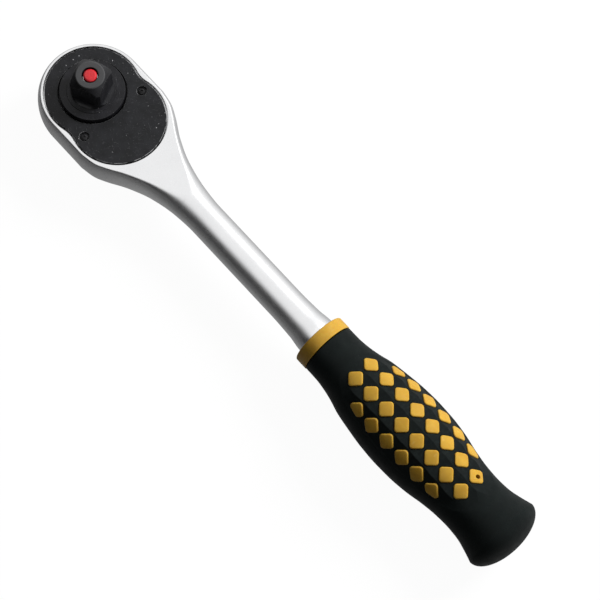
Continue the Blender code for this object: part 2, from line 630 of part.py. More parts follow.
def reverser_lever():
    """A thumb lever across the head's back, in one piece with its shaft."""
    outline = belt_outline(LEVER_HUB, LEVER_REACH, LEVER_TAB)
    lever = prism("reverser_lever", outline, LEVER_BOTTOM, LEVER_TOP, BLACK_OXIDE,
                  (REVERSER_X, 0, 0), (0, 0, REVERSER_TILT))
    bevel(lever, 0.0005, 1, 60)
    join(lever, reverser_shaft(), thumb_rest())
    cut(lever, rod("plunger_bore_cutter", PLUNGER_BORE, REVERSER_SPRING[0] - RUNNING_GAP, 0.004, None, 16,
                   *AT_PLUNGER))
    return lever


def reverser_plunger():
    """The spring-loaded pin that leans on the pawl's back; its own Z points at the pawl."""
    radius, start, end = PLUNGER_RADIUS, PLUNGER_START, PLUNGER_END
    profile = [(0, end), (radius * 0.45, end - 0.0001), (radius * 0.82, end - 0.0004),
               (radius, end - 0.0008), (radius, start), (0, start)]
    return turned("reverser_plunger", profile, BRIGHT_STEEL, 16, *AT_PLUNGER)


def reverser_spring():
    return coil("reverser_spring", REVERSER_SPRING_RADIUS, REVERSER_SPRING_WIRE, *REVERSER_SPRING, 4,
                BRIGHT_STEEL, *AT_PLUNGER, 10)


def lever_seal():
    """O-ring round the lever's shaft, in the bore through the head's back."""
    spot = (REVERSER_X, 0, BACK_WALL_MIDDLE)
    return torus("lever_seal", SHAFT_SEAL_RING, SHAFT_SEAL_SECTION, spot, SEAL, 20)


def lever_clip():
    """Split ring in the shaft's groove, inside the pocket floor."""
    inner = REVERSER_RADIUS - SHAFT_GROOVE_DEPTH + 0.0001
    spot, half, beyond = (REVERSER_X, 0, 0), CLIP_HALF_SLOT, CLIP_RADIUS + OVERCUT
    clip = washer("lever_clip", inner, CLIP_RADIUS, CLIP_BOTTOM, CLIP_TOP, BRIGHT_STEEL, 28, spot)
    slot = [(0, -half), (beyond, -half), (beyond, half), (0, half)]
    cut(clip, prism("clip_slot_cutter", slot, CLIP_BOTTOM - OVERCUT, CLIP_TOP + OVERCUT, None, spot))
    return clip


# ---- grip ----

AT_GRIP = ((0, 0, MID_Z), (0, math.pi / 2, 0))  # the handle's centre line, with Z turned to run along it


def grip_outer(start, inset=0.0, steps=40):
    """(radius, distance along the handle) from the butt down to start, inset from the sleeve's surface."""
    radius = smooth_curve(GRIP_OUTLINE)
    bulge = GRIP_OUTLINE[-1][0]
    depth = BUTT_END - bulge
    points = []
    butt_steps = 7
    for k in range(butt_steps + 1):
        turn = math.pi / 2 * k / butt_steps
        points.append(((radius(bulge) - inset) * math.sin(turn), bulge + (depth - inset) * math.cos(turn)))
    for k in range(1, steps + 1):
        x = bulge + (start - bulge) * k / steps
        points.append((radius(x) - inset, x))
    return points


def pad_places():
    """(x, y, height above the handle's centre line of the grip's surface) of each pad."""
    radius = smooth_curve(GRIP_OUTLINE)
    for y, first, count, pitch in PAD_ROWS:
        for k in range(count):
            x = first + k * pitch
            yield x, y, math.sqrt(radius(x) ** 2 - y**2)


def pad_outline(side, corner):
    """A rounded square that stands on one corner, so its diagonal runs along the handle."""
    inset = (side / 2 - corner) * math.sqrt(2)
    half_corner = math.pi / 4
    points = []
    for turn in (0, math.pi / 2, math.pi, 1.5 * math.pi):
        x, y = inset * math.cos(turn), inset * math.sin(turn)
        points += arc(x, y, corner, turn - half_corner, turn + half_corner, 1)
    return points


def pad_prisms(name, side, corner):
    """One object holding an upright prism for every pad, over the handle and again under it."""
    outline = pad_outline(side, corner)
    lowest, above = 0.0008, 0.0050
    bm = bmesh.new()
    for x, y, height in pad_places():
        low, high = max(height - PAD_DEPTH, lowest), height + above
        for flip in (1, -1):
            base = [bm.verts.new((x + dx, y + dy, MID_Z + flip * low)) for dx, dy in outline]
            grown = bmesh.ops.extrude_face_region(bm, geom=[bm.faces.new(base)])["geom"]
            raised = [part for part in grown if isinstance(part, bmesh.types.BMVert)]
            bmesh.ops.translate(bm, verts=raised, vec=(0, 0, flip * (high - low)))
    bmesh.ops.recalc_face_normals(bm, faces=bm.faces)
    mesh = bpy.data.meshes.new(name)
    bm.to_mesh(mesh)
    bm.free()
    return place(name, mesh, None)


def pad_posts():
    """The pads as posts, topped by a surface that stands a little proud of the sleeve's."""
    start = GRIP_OUTLINE[1][0]
    posts = pad_prisms("pad_posts", PAD_SIDE, PAD_CORNER)
    envelope = turned("pad_envelope", [*grip_outer(start, -PAD_PROUD, 12), (0, start)], None, 26, *AT_GRIP)
    boolean(posts, envelope, "INTERSECT")
    return posts


def grip_core():
    """Yellow core: a collar at the front, and the pads that stand up through the sleeve's windows."""
    edge = 0.0010
    collar_back = GRIP_SLEEVE_START - RUNNING_GAP
    seat_end, tang_end = COLLAR_SEAT[1] + RUNNING_GAP, TANG_END + RUNNING_GAP
    bore, seat_bore = TANG_RADIUS + RUNNING_GAP, COLLAR_SEAT_RADIUS + RUNNING_GAP
    outer = [(r, x) for r, x in grip_outer(GRIP_SLEEVE_START, SLEEVE_WALL + RUNNING_GAP, 8) if x < CORE_END]
    profile = [(0, CORE_END), (outer[0][0], CORE_END), *outer[:-1], (outer[-1][0], collar_back),
               (COLLAR_RADIUS, collar_back), (COLLAR_RADIUS, GRIP_START + edge),
               (COLLAR_RADIUS - edge * 0.3, GRIP_START + edge * 0.3), (COLLAR_RADIUS - edge, GRIP_START),
               (seat_bore, GRIP_START), (seat_bore, seat_end), (bore, seat_end), (bore, tang_end),
               (0, tang_end)]
    core = turned("grip_core", profile, YELLOW, 24, *AT_GRIP)
    join(core, pad_posts())
    return core


def grip_sleeve():
    """Black sleeve, closed at the butt, with a window for each pad."""
    floor = CORE_END + RUNNING_GAP
    outer = grip_outer(GRIP_SLEEVE_START, 0.0, 14)
    inside = [(r, x) for r, x in grip_outer(GRIP_SLEEVE_START, SLEEVE_WALL, 8) if x < floor]
    profile = [*outer, *reversed(inside), (inside[0][0], floor), (0, floor)]
    sleeve = turned("grip_sleeve", profile, RUBBER, 26, *AT_GRIP)
    cut(sleeve, pad_prisms("window_cutters", PAD_SIDE + 2 * WINDOW_GAP, PAD_CORNER + WINDOW_GAP))
    return sleeve


def build():
    ratchet_body()
    cover_plate()
    cover_screw("cover_screw_left", -1)
    cover_screw("cover_screw_right", 1)
    drive_spindle()
    drive_seal()
    thrust_washer()
    detent_ball()
    release_plunger()
    release_tip()
    release_button()
    release_spring()
    pawl()
    pawl_pin()
    reverser_lever()
    lever_seal()
    lever_clip()
    reverser_plunger()
    reverser_spring()
    grip_core()
    grip_sleeve()


build()
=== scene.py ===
"""Looks of the ratchet wrench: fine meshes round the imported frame, procedural materials, light and camera.

Shapes are drawn in millimetres in the tool's own frame: X along the handle, Z out of the square drive,
with heights from the cover plate's outer face. Heights and ends come from the CAD nodes' boxes.
"""

import math

import bmesh
import bpy
import numpy as np
from mathutils import Matrix, Quaternion, Vector
from mathutils.geometry import delaunay_2d_cdt


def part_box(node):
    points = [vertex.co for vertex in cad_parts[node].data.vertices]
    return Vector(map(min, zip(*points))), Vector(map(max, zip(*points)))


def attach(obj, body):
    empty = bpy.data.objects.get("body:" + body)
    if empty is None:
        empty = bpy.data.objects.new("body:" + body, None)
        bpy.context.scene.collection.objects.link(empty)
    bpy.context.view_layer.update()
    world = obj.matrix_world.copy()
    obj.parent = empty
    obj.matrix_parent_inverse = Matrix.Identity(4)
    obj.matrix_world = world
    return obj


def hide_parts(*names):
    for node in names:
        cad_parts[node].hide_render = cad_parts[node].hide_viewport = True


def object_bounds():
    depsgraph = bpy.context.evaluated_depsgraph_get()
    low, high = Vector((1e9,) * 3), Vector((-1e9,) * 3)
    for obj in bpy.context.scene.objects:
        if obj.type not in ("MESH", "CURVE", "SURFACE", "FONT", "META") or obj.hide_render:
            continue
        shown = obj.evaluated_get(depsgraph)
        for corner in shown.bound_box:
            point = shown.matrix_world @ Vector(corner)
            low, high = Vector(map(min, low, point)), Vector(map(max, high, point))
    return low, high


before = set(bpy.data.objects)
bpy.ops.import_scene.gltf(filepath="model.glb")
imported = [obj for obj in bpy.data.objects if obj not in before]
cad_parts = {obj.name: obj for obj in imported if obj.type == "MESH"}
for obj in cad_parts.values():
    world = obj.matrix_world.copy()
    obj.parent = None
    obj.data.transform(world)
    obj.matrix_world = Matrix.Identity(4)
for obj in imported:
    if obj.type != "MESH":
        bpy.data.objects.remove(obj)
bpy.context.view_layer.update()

MM = 0.001
TAU = 2 * math.pi

# Where things are, from the CAD: the plate's face in metres, the rest in millimetres
PLATE_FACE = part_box("cover_plate")[1].z
BODY_LOW, BODY_HIGH = [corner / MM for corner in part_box("ratchet_body")]
SLEEVE_LOW, SLEEVE_HIGH = [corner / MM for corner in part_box("grip_sleeve")]
CORE_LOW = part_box("grip_core")[0] / MM
MID = (BODY_LOW.z + BODY_HIGH.z) / 2 - PLATE_FACE / MM
BACK = 2 * MID
HEAD_RADIUS = -BODY_LOW.x
DRIVE_END = -PLATE_FACE / MM

# Head
FLAT_RADIUS = HEAD_RADIUS - 1.9
CHEEK_END = 17.0
FLAT_END = 56.5
SHANK = ((66, 6.95), (110, 6.95), (120.5, 7.3), (127, 8.0), (131.1, 8.0))
NECK_OUTLINE = ((CHEEK_END, HEAD_RADIUS), (22, 20.4), (27.5, 18.0), (35, 13.75), (45, 9.85), (56, 7.7),
                *SHANK)
NECK_FLAT = ((CHEEK_END, FLAT_RADIUS), (22.9, 18.3), (27.5, 16.0), (32.5, 12.8), (42, 7.7), (51, 3.4),
             (FLAT_END, 0))
NECK_HEIGHT = ((FLAT_END, -MID), *SHANK)
SHANK_END = SHANK[-1][0]
TANG_RADIUS, TANG_INSET = 6.0, 12.4  # the tang ends this far inside the butt
LOBE_SPACING, WAIST_BLEND = 15.0, 10.0
SEAT_RADIUS, PLATE_RADIUS = 18.9, 18.35
SEAT_DEPTH, PLATE_THICK = 2.5, 2.2
PLATE_HOLE = 13.3
SCREW_SPOTS = [(12.1, side * 14.3) for side in (-1, 1)]
SCREW_RECESS, RECESS_DEPTH = 1.95, 1.0
SCREW_HOLE, SCREW_HOLE_END = 1.15, -9.2
PIN_HOLE, PIN_HOLE_END, PIN_SPOT = 1.56, -13.3, (18.2, 0)
POCKET_FLOOR = -11.3
GEAR_BORE, REAR_BORE, REAR_BORE_X = 15.2, 13.0, 17.4
HUB_BORE, SHAFT_BORE, REVERSER_X = 8.2, 3.05, 26.2

# Drive
TEETH = 36
CORNER_RADIUS, FLAT_DISTANCE = 8.3, 6.35
DRIVE_ANGLE = math.radians(25.3)
MILL_RADIUS, MILL_LOW = 1.9, 2.5
BALL_HEIGHT, BALL_HOLE = 7.3, 2.5
LEVER_ANGLE = math.radians(30)
PLUNGER_HEIGHT = -6.9  # of the reverser's plunger

# Grip
GRIP_OUTLINE = ((133.9, 10.9), (139, 10.95), (144, 11.45), (149, 12.45), (154, 13.8), (161, 14.9),
                (169, 15.85), (176.5, 16.2), (184, 16.0), (192, 15.15), (199.5, 13.7), (206, 12.85),
                (211.5, 12.6), (217, 12.9), (222.5, 14.1), (226.9, 15.4))
BULGE = GRIP_OUTLINE[-1]
COLLAR_RADIUS = 11.1
SLEEVE_WALL = 2.5
PAD_START, PAD_PITCH, PITCH_LOSS = 151.2, 8.16, 0.027  # x of the first pads; they close up towards the butt
ROW_MIDDLE, ROW_PITCH, ROW_SKEW = 0.94, 8.36, -0.33  # arc from the top line; each row's shift along x
ROW_SPANS = ((1, 6), (0, 7), (0, 7), (1, 6))  # first and last column
PANEL = (180.3, 0.94, 34.0, 17.2, 2.4)  # the padded panel's centre, half length, half width and exponent
PANEL_MARGIN = 0.45  # from the panel's edge to its pads
PAD_INSET, PAD_CORNER = 0.14, 1.3
WINDOW_GAP, WINDOW_LIP = 0.1, 0.12
PAD_PROUD, PYRAMID_BASE, PYRAMID_PEAK = 0.22, -0.25, 0.6
HOLED_PAD = (7, 2)
GRID_SCALE = 17.0  # millimetres for each radian, where the sleeve is laid out flat
HALF_STEPS = 64  # edges round half the grip


# ---- curves ----

def arc(x, y, radius, start, end, steps):
    """Points on a circle, from the start angle to the end angle."""
    turns = [start + (end - start) * k / steps for k in range(steps + 1)]
    return [(x + radius * math.cos(turn), y + radius * math.sin(turn)) for turn in turns]


def quarter(steps):
    """Angles from 0 to a right angle."""
    return [math.pi / 2 * k / steps for k in range(steps + 1)]


def circle(radius, steps, x=0.0, y=0.0):
    return arc(x, y, radius, 0, TAU, steps)[:-1]


def without_repeats(points, least=1e-5):
    return [p for k, p in enumerate(points) if math.dist(p, points[k - 1]) > least]


def smooth_curve(points):
    """A monotone cubic through (x, y) points, as a function of x."""
    xs, ys = zip(*points)
    slopes = [(y1 - y0) / (x1 - x0) for x0, y0, x1, y1 in zip(xs, ys, xs[1:], ys[1:])]
    inner = [2 * a * b / (a + b) if a * b > 0 else 0 for a, b in zip(slopes, slopes[1:])]
    tangents = [slopes[0], *inner, slopes[-1]]

    def value(x):
        x = min(max(x, xs[0]), xs[-1])
        k = max(0, min(int(np.searchsorted(xs, x, "right")), len(slopes)) - 1)
        width = xs[k + 1] - xs[k]
        t = (x - xs[k]) / width
        rise = ys[k + 1] - ys[k]
        bend = tangents[k] * width * (1 - t) - tangents[k + 1] * width * t + rise * (2 * t - 1)
        return ys[k] + rise * t + t * (1 - t) * bend

    return value


def lobed_outline(radius, steps=48):
    """Two circles LOBE_SPACING apart, joined on both sides by concave arcs."""
    blend = WAIST_BLEND + SEAT_RADIUS - radius
    half = LOBE_SPACING / 2
    blend_y = math.sqrt((radius + blend) ** 2 - half**2)
    meet = math.atan2(blend_y, half)
    rear = arc(LOBE_SPACING, 0, radius, meet - math.pi, math.pi - meet, steps)
    upper = arc(half, blend_y, blend, -meet, meet - math.pi, 12)
    front = arc(0, 0, radius, meet, TAU - meet, steps)
    lower = arc(half, -blend_y, blend, math.pi - meet, meet, 12)
    return without_repeats(rear + upper + front + lower)


def rounded(points, steps=5):
    """(x, y) points of a polyline of (x, y, fillet radius) points, with its corners rounded."""
    out = []
    for k, (x, y, radius) in enumerate(points):
        corner = Vector((x, y))
        if not radius or k in (0, len(points) - 1):
            out.append((x, y))
            continue
        before = (Vector(points[k - 1][:2]) - corner).normalized()
        after = (Vector(points[k + 1][:2]) - corner).normalized()
        half = before.angle(after) / 2
        centre = corner + (before + after).normalized() * radius / math.sin(half)
        first = corner + before * radius / math.tan(half) - centre
        last = corner + after * radius / math.tan(half) - centre
        for j in range(steps + 1):
            out.append(tuple(centre + first.slerp(last, j / steps).normalized() * radius))
    return out


# ---- mesh building ----

class Shell:
    """A closed mesh made of rings of points, in millimetres."""

    def __init__(self):
        self.bm = bmesh.new()

    def ring(self, outline, height=None):
        points = outline if height is None else [(x, y, height) for x, y in outline]
        return [self.bm.verts.new(point) for point in points]

    def wall(self, near, far, closed=True):
        count = len(near)
        for k in range(count if closed else count - 1):
            j = (k + 1) % count
            corners = []
            for vert in (near[k], near[j], far[j], far[k]):
                if vert not in corners:
                    corners.append(vert)
            if len(corners) > 2:
                self.bm.faces.new(corners)

    def walls(self, rings, closed=True):
        for near, far in zip(rings, rings[1:]):
            self.wall(near, far, closed)

    def fan(self, ring, point):
        tip = self.bm.verts.new(point)
        for k in range(len(ring)):
            self.bm.faces.new((ring[k - 1], ring[k], tip))

    def blind_hole(self, radius, spot, top, floor):
        """The wall and the floor of a small round hole: the ring at its mouth."""
        rings = [self.ring(circle(radius, 24, *spot), height) for height in (top, floor)]
        self.walls(rings)
        self.bm.faces.new(rings[-1])
        return rings[0]

    def sheet(self, *rings):
        """A flat face with holes: the first ring is its outline."""
        edges = []
        for ring in rings:
            for k in range(len(ring)):
                pair = (ring[k - 1], ring[k])
                edges.append(self.bm.edges.get(pair) or self.bm.edges.new(pair))
        bmesh.ops.triangle_fill(self.bm, use_beauty=True, edges=edges, normal=(0, 0, 1))

    def turned(self, profile, steps, shape=None):
        """Rings of a (radius, height) profile; a radius of 0 at an end closes it with a point."""
        rings = []
        first, last = profile[0][0] == 0, profile[-1][0] == 0
        for radius, height in profile[first:len(profile) - last]:
            if shape:
                rings.append(self.ring(shape(radius, height)))
            else:
                rings.append(self.ring(circle(radius, steps), height))
        self.walls(rings)
        if first:
            self.fan(rings[0], (0, 0, profile[0][1]))
        if last:
            self.fan(rings[-1], (0, 0, profile[-1][1]))
        return rings

    def mesh(self, name, matrix=None):
        bmesh.ops.remove_doubles(self.bm, verts=self.bm.verts, dist=1e-4)
        bmesh.ops.recalc_face_normals(self.bm, faces=self.bm.faces)
        if matrix is not None:
            bmesh.ops.transform(self.bm, verts=self.bm.verts, matrix=matrix)
        made = bpy.data.meshes.new(name)
        self.bm.to_mesh(made)
        self.bm.free()
        return made


def piece(name, mesh, material, body, slot, *nodes, sharp=42):
    """Places a mesh drawn in millimetres, shades it, and lets it ride in place of the CAD nodes."""
    mesh.transform(Matrix.Translation((0, 0, PLATE_FACE)) @ Matrix.Scale(MM, 4))
    mesh.materials.clear()
    mesh.materials.append(material)
    mesh.shade_smooth()
    mesh.set_sharp_from_angle(angle=math.radians(sharp))
    thing = bpy.data.objects.new(name, mesh)
    bpy.context.scene.collection.objects.link(thing)
    weighted = thing.modifiers.new("weighted_normals", "WEIGHTED_NORMAL")
    weighted.keep_sharp = True
    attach(thing, body)
    if nodes:
        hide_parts(*nodes)


def combined(name, first, second, operation):
    """The Boolean of two meshes, as a new mesh."""
    things = []
    for mesh in (first, second):
        thing = bpy.data.objects.new(mesh.name, mesh)
        bpy.context.scene.collection.objects.link(thing)
        things.append(thing)
    modifier = things[0].modifiers.new("combine", "BOOLEAN")
    modifier.operation = operation
    modifier.solver = "EXACT"
    modifier.object = things[1]
    bpy.context.view_layer.update()
    made = bpy.data.meshes.new_from_object(things[0].evaluated_get(bpy.context.evaluated_depsgraph_get()))
    made.name = name
    for thing in things:
        bpy.data.objects.remove(thing)
    return made


# ---- head ----

def stations():
    """(flat edge, widest point, half height) of each section of one half of the forging."""
    found = []
    nose_steps = 48
    for k in range(nose_steps + 1):
        turn = math.pi - math.pi / 2 * k / nose_steps
        ends = [(r * math.cos(turn), r * math.sin(turn)) for r in (FLAT_RADIUS, HEAD_RADIUS)]
        found.append((*ends, -MID))
    width, height, flat = smooth_curve(NECK_OUTLINE), smooth_curve(NECK_HEIGHT), smooth_curve(NECK_FLAT)
    start = 0.0
    for end, steps in ((CHEEK_END, 10), (FLAT_END, 70), (66, 16), (110, 24), (127, 20)):
        for k in range(1, steps + 1):
            x = start + (end - start) * k / steps
            found.append(((x, flat(x)), (x, width(x)), height(x)))
        start = end
    tang_end = SLEEVE_HIGH.x - TANG_INSET
    for x, radius in ((SHANK_END - 0.2, 8.0), (SHANK_END, 7.8), (SHANK_END, TANG_RADIUS),
                      (tang_end - 1, TANG_RADIUS), (tang_end, 5.0)):
        found.append(((x, 0), (x, radius), radius))
    return found


def section(flat_edge, widest, half_height, side, steps=28):
    """One half section: a side that rounds down from the flat face's edge to the back face's edge."""
    points = []
    for k in range(steps + 1):
        turn = math.pi * k / steps
        x, y = [a + (b - a) * math.sin(turn) for a, b in zip(flat_edge, widest)]
        points.append((x, side * y, MID + half_height * math.cos(turn)))
    return points


def bored(shell, outline, top, fillet, floor, spot=(0, 0), steps=72):
    """Rings of a round bore's wall with a rounded mouth: (guard ring round the mouth, last ring)."""
    direction = 1 if floor < top else -1
    profile = [(outline + 3 * fillet, top), (outline + 2 * fillet, top)]
    profile += [(outline + fillet * (1 - math.sin(t)), top - direction * fillet * (1 - math.cos(t)))
                for t in quarter(4)]
    profile.append((outline, floor))
    rings = [shell.ring(circle(radius, steps, *spot), height) for radius, height in profile]
    shell.walls(rings)
    return rings[0], rings[-1]


def body_mesh():
    shell = Shell()
    halves = []
    for side in (1, -1):
        rows = [shell.ring(section(*station, side)) for station in stations()]
        shell.walls(rows, closed=False)
        halves.append(rows)
    shell.bm.verts.index_update()
    for side in halves:
        shell.bm.faces.new(side[-1])
    flat_count = sum(1 for station in stations() if station[0][1] > 1e-9 or station[0][0] < 0) + 1
    edge = 0.15
    profile = [(SEAT_RADIUS + edge + outward, 0) for outward in (0.35, 0.15)]
    profile += [(SEAT_RADIUS + edge * (1 - math.sin(t)), -edge * (1 - math.cos(t))) for t in quarter(4)]
    profile.append((SEAT_RADIUS, -SEAT_DEPTH))
    seat_rings = [shell.ring(lobed_outline(radius), height) for radius, height in profile]
    shell.walls(seat_rings)
    for level, rings in ((0, [seat_rings[0]]), (-1, [])):
        outline = [row[level] for row in halves[0][:flat_count]]
        outline += [row[level] for row in reversed(halves[1][1:flat_count - 1])]
        if level == -1:
            hub_mouth, hub_top = bored(shell, HUB_BORE, BACK, 0.35, POCKET_FLOOR)
            shaft_mouth, shaft_top = bored(shell, SHAFT_BORE, BACK, 0.2, POCKET_FLOOR, (REVERSER_X, 0), 40)
            rings = [hub_mouth, shaft_mouth]
        shell.sheet(outline, *rings)
    pocket = [shell.ring(pocket_outline(), height) for height in (-SEAT_DEPTH, POCKET_FLOOR)]
    shell.walls(pocket)
    screw_holes = [shell.blind_hole(SCREW_HOLE, spot, -SEAT_DEPTH, SCREW_HOLE_END) for spot in SCREW_SPOTS]
    shell.sheet(seat_rings[-1], pocket[0], *screw_holes)
    pin_hole = shell.blind_hole(PIN_HOLE, PIN_SPOT, POCKET_FLOOR, PIN_HOLE_END)
    shell.sheet(pocket[1], hub_top, shaft_top, pin_hole)
    return shell.mesh("ratchet_body")


def pocket_outline():
    """The outline of the ratchet wheel's bore and the pawl's bore behind it."""
    meet_x = (GEAR_BORE**2 - REAR_BORE**2 + REAR_BORE_X**2) / (2 * REAR_BORE_X)
    meet_y = math.sqrt(GEAR_BORE**2 - meet_x**2)
    front, rear = math.atan2(meet_y, meet_x), math.atan2(meet_y, meet_x - REAR_BORE_X)
    return without_repeats(arc(0, 0, GEAR_BORE, front, TAU - front, 60)
                           + arc(REAR_BORE_X, 0, REAR_BORE, -rear, rear, 40))


def cover_plate_mesh():
    shell = Shell()
    edge = 0.3
    profile = [(PLATE_RADIUS - edge - inward, 0) for inward in (0.6, 0.3)]
    profile += [(PLATE_RADIUS - edge * (1 - math.sin(t)), -edge * (1 - math.cos(t))) for t in quarter(5)]
    profile += [(PLATE_RADIUS, -PLATE_THICK + 0.15), (PLATE_RADIUS - 0.15, -PLATE_THICK)]
    rings = [shell.ring(lobed_outline(radius), height) for radius, height in profile]
    shell.walls(rings)
    hole_mouth, hole_end = bored(shell, PLATE_HOLE, 0, 0.22, -PLATE_THICK, steps=128)
    tops, ends = [hole_mouth], [hole_end]
    for spot in SCREW_SPOTS:
        mouth, floor = bored(shell, SCREW_RECESS, 0, 0.12, -RECESS_DEPTH, spot, 40)
        through = [shell.ring(circle(1.2, 40, *spot), height) for height in (-RECESS_DEPTH, -PLATE_THICK)]
        shell.walls([floor, *through])
        tops.append(mouth)
        ends.append(through[-1])
    shell.sheet(rings[0], *tops)
    shell.sheet(rings[-1], *ends)
    return shell.mesh("cover_plate")


def cover_screw_mesh(spot):
    """A domed head over a plain shank, with a small round socket."""
    shell = Shell()
    dome = [(r, -0.16 - 0.42 * (r / 1.32) ** 3) for r in [0.62 + 0.7 * k / 8 for k in range(9)]]
    profile = [*dome, (1.32, -0.86), (1.0, -0.86), (1.0, -8.5), (0, -8.5)]
    rings = shell.turned(profile, 48)
    socket = [shell.ring(circle(0.5, 48), height) for height in (-0.16, -0.6)]
    shell.wall(socket[0], rings[0])
    shell.walls(socket)
    shell.bm.faces.new(socket[-1])
    return shell.mesh("cover_screw", Matrix.Translation((*spot, 0)))


# ---- drive ----

def milled(radius, height, angle):
    """The spindle's radius at an angle, where the four flats cut into the round shape."""
    if height < MILL_LOW:
        return radius
    rise = MILL_LOW + MILL_RADIUS - height
    flat = FLAT_DISTANCE + (MILL_RADIUS - math.sqrt(max(0, MILL_RADIUS**2 - rise**2)) if rise > 0 else 0)
    turn = (angle - DRIVE_ANGLE + math.pi / 4) % (math.pi / 2) - math.pi / 4
    across = flat / math.cos(turn)
    soft = 0.22
    overlap = max(soft - abs(across - radius), 0) / soft
    return min(across, radius) - overlap**2 * soft / 4


def spindle_ring(radius, height, steps=504):
    """A ring of the spindle; on the toothed band the radius is the root's and the teeth stand on it."""
    toothed = -10.7 < height < -2.7 and radius > 13
    points = []
    for k in range(steps):
        angle = TAU * k / steps
        reach = milled(radius, height, angle)
        if toothed:
            off = abs((angle * TEETH / TAU + 0.5) % 1 - 0.5)
            reach += 1.1 * min(1, max(0, (0.38 - off) / 0.26))
        points.append((reach * math.cos(angle), reach * math.sin(angle), height))
    return points


def spindle_mesh():
    shell = Shell()
    end = DRIVE_END
    face = [(3.2, end - 1, 0), (3.2, end, 0.15), (4.2, end, 0), (5.3, end, 0.3)]
    chamfer = [(5.3 + 3.0 * k / 16, end - 3.2 * k / 16, 0) for k in range(2, 15)]
    square = [(CORNER_RADIUS, end - 3.2, 0.5), (CORNER_RADIUS, 8, 0), (CORNER_RADIUS, 4.5, 0)]
    runout = [(CORNER_RADIUS, MILL_LOW + MILL_RADIUS * (1 - k / 12), 0) for k in range(0, 13)]
    shoulder = [(CORNER_RADIUS, 2.1, 0.08), (9.4, 2.1, 0), (9.8, 2.1, 0.15), (9.8, 1.7, 0.12), (12.2, 1.7, 0),
                (12.6, 1.7, 0.25), (12.6, 0.5, 0), (12.6, -2.8, 0)]
    wheel = [(13.7, -2.8, 0), (13.7, -10.6, 0), (7.9, -10.6, 0)]
    hub = [(7.9, -12.2, 0), (7.1, -12.2, 0), (7.1, -13.4, 0), (7.9, -13.4, 0), (7.9, -14.1, 0.3),
           (7.0, -14.1, 0), (6.0, -14.1, 0), (5.3, -14.1, 0.25), (5.3, -3.5, 0), (3.1, -3.5, 0),
           (3.1, end - 2.5, 0), (3.2, end - 2.5, 0), (3.2, end - 1, 0)]
    profile = rounded(face + chamfer + square + runout + shoulder + wheel + hub)
    shell.turned(profile, 0, spindle_ring)
    body = shell.mesh("drive_spindle")
    hole = Shell()
    hole.turned([(0, 12), (BALL_HOLE, 12), (BALL_HOLE, 0.5), (0, 0.5)], 64)
    turned = Matrix.Rotation(DRIVE_ANGLE + math.pi / 2, 4, "Z") @ Matrix.Rotation(math.pi / 2, 4, "Y")
    place = Matrix.Translation((0, 0, BALL_HEIGHT)) @ turned
    return combined("drive_spindle", body, hole.mesh("ball_hole", place), "DIFFERENCE")


def release_tip_mesh():
    shell = Shell()
    end = DRIVE_END
    profile = rounded([(0, end, 0), (1.4, end, 0), (2.0, end - 0.05, 0.5), (2.62, end - 0.45, 0.4),
                       (2.62, end - 1.9, 0), (1.2, end - 1.9, 0), (1.2, end - 4.3, 0), (0, end - 4.3, 0)])
    shell.turned(profile, 72)
    return shell.mesh("release_tip")


def release_button_mesh():
    """A thumb button with a shallow dish in its face."""
    shell = Shell()
    end = -17.4
    dish = [(4.0 * k / 12, end + 0.35 * math.cos(math.pi / 2 * k / 12) ** 2, 0) for k in range(12)]
    rim = [(4.1, end - 0.05, 0.2), (4.5, end - 0.05, 0.3), (5.0, end + 0.6, 0.4), (5.0, end + 2.1, 0)]
    groove = [(4.85, end + 2.2, 0), (4.85, end + 2.5, 0), (5.0, end + 2.6, 0)]
    top = [(5.0, -11.0, 0.3), (1.9, -11.0, 0), (1.9, -14.5, 0), (0, -14.5, 0)]
    shell.turned(rounded(dish + rim + groove + top), 96)
    return shell.mesh("release_button")


# ---- reverser ----

def belt_outline(big, reach, small, steps=24):
    """A round hub with a tab that tapers to a round end at +X."""
    tangent = math.acos((big - small) / reach)
    hub = arc(0, 0, big, tangent, TAU - tangent, 2 * steps)
    return hub + arc(reach, 0, small, -tangent, tangent, steps)


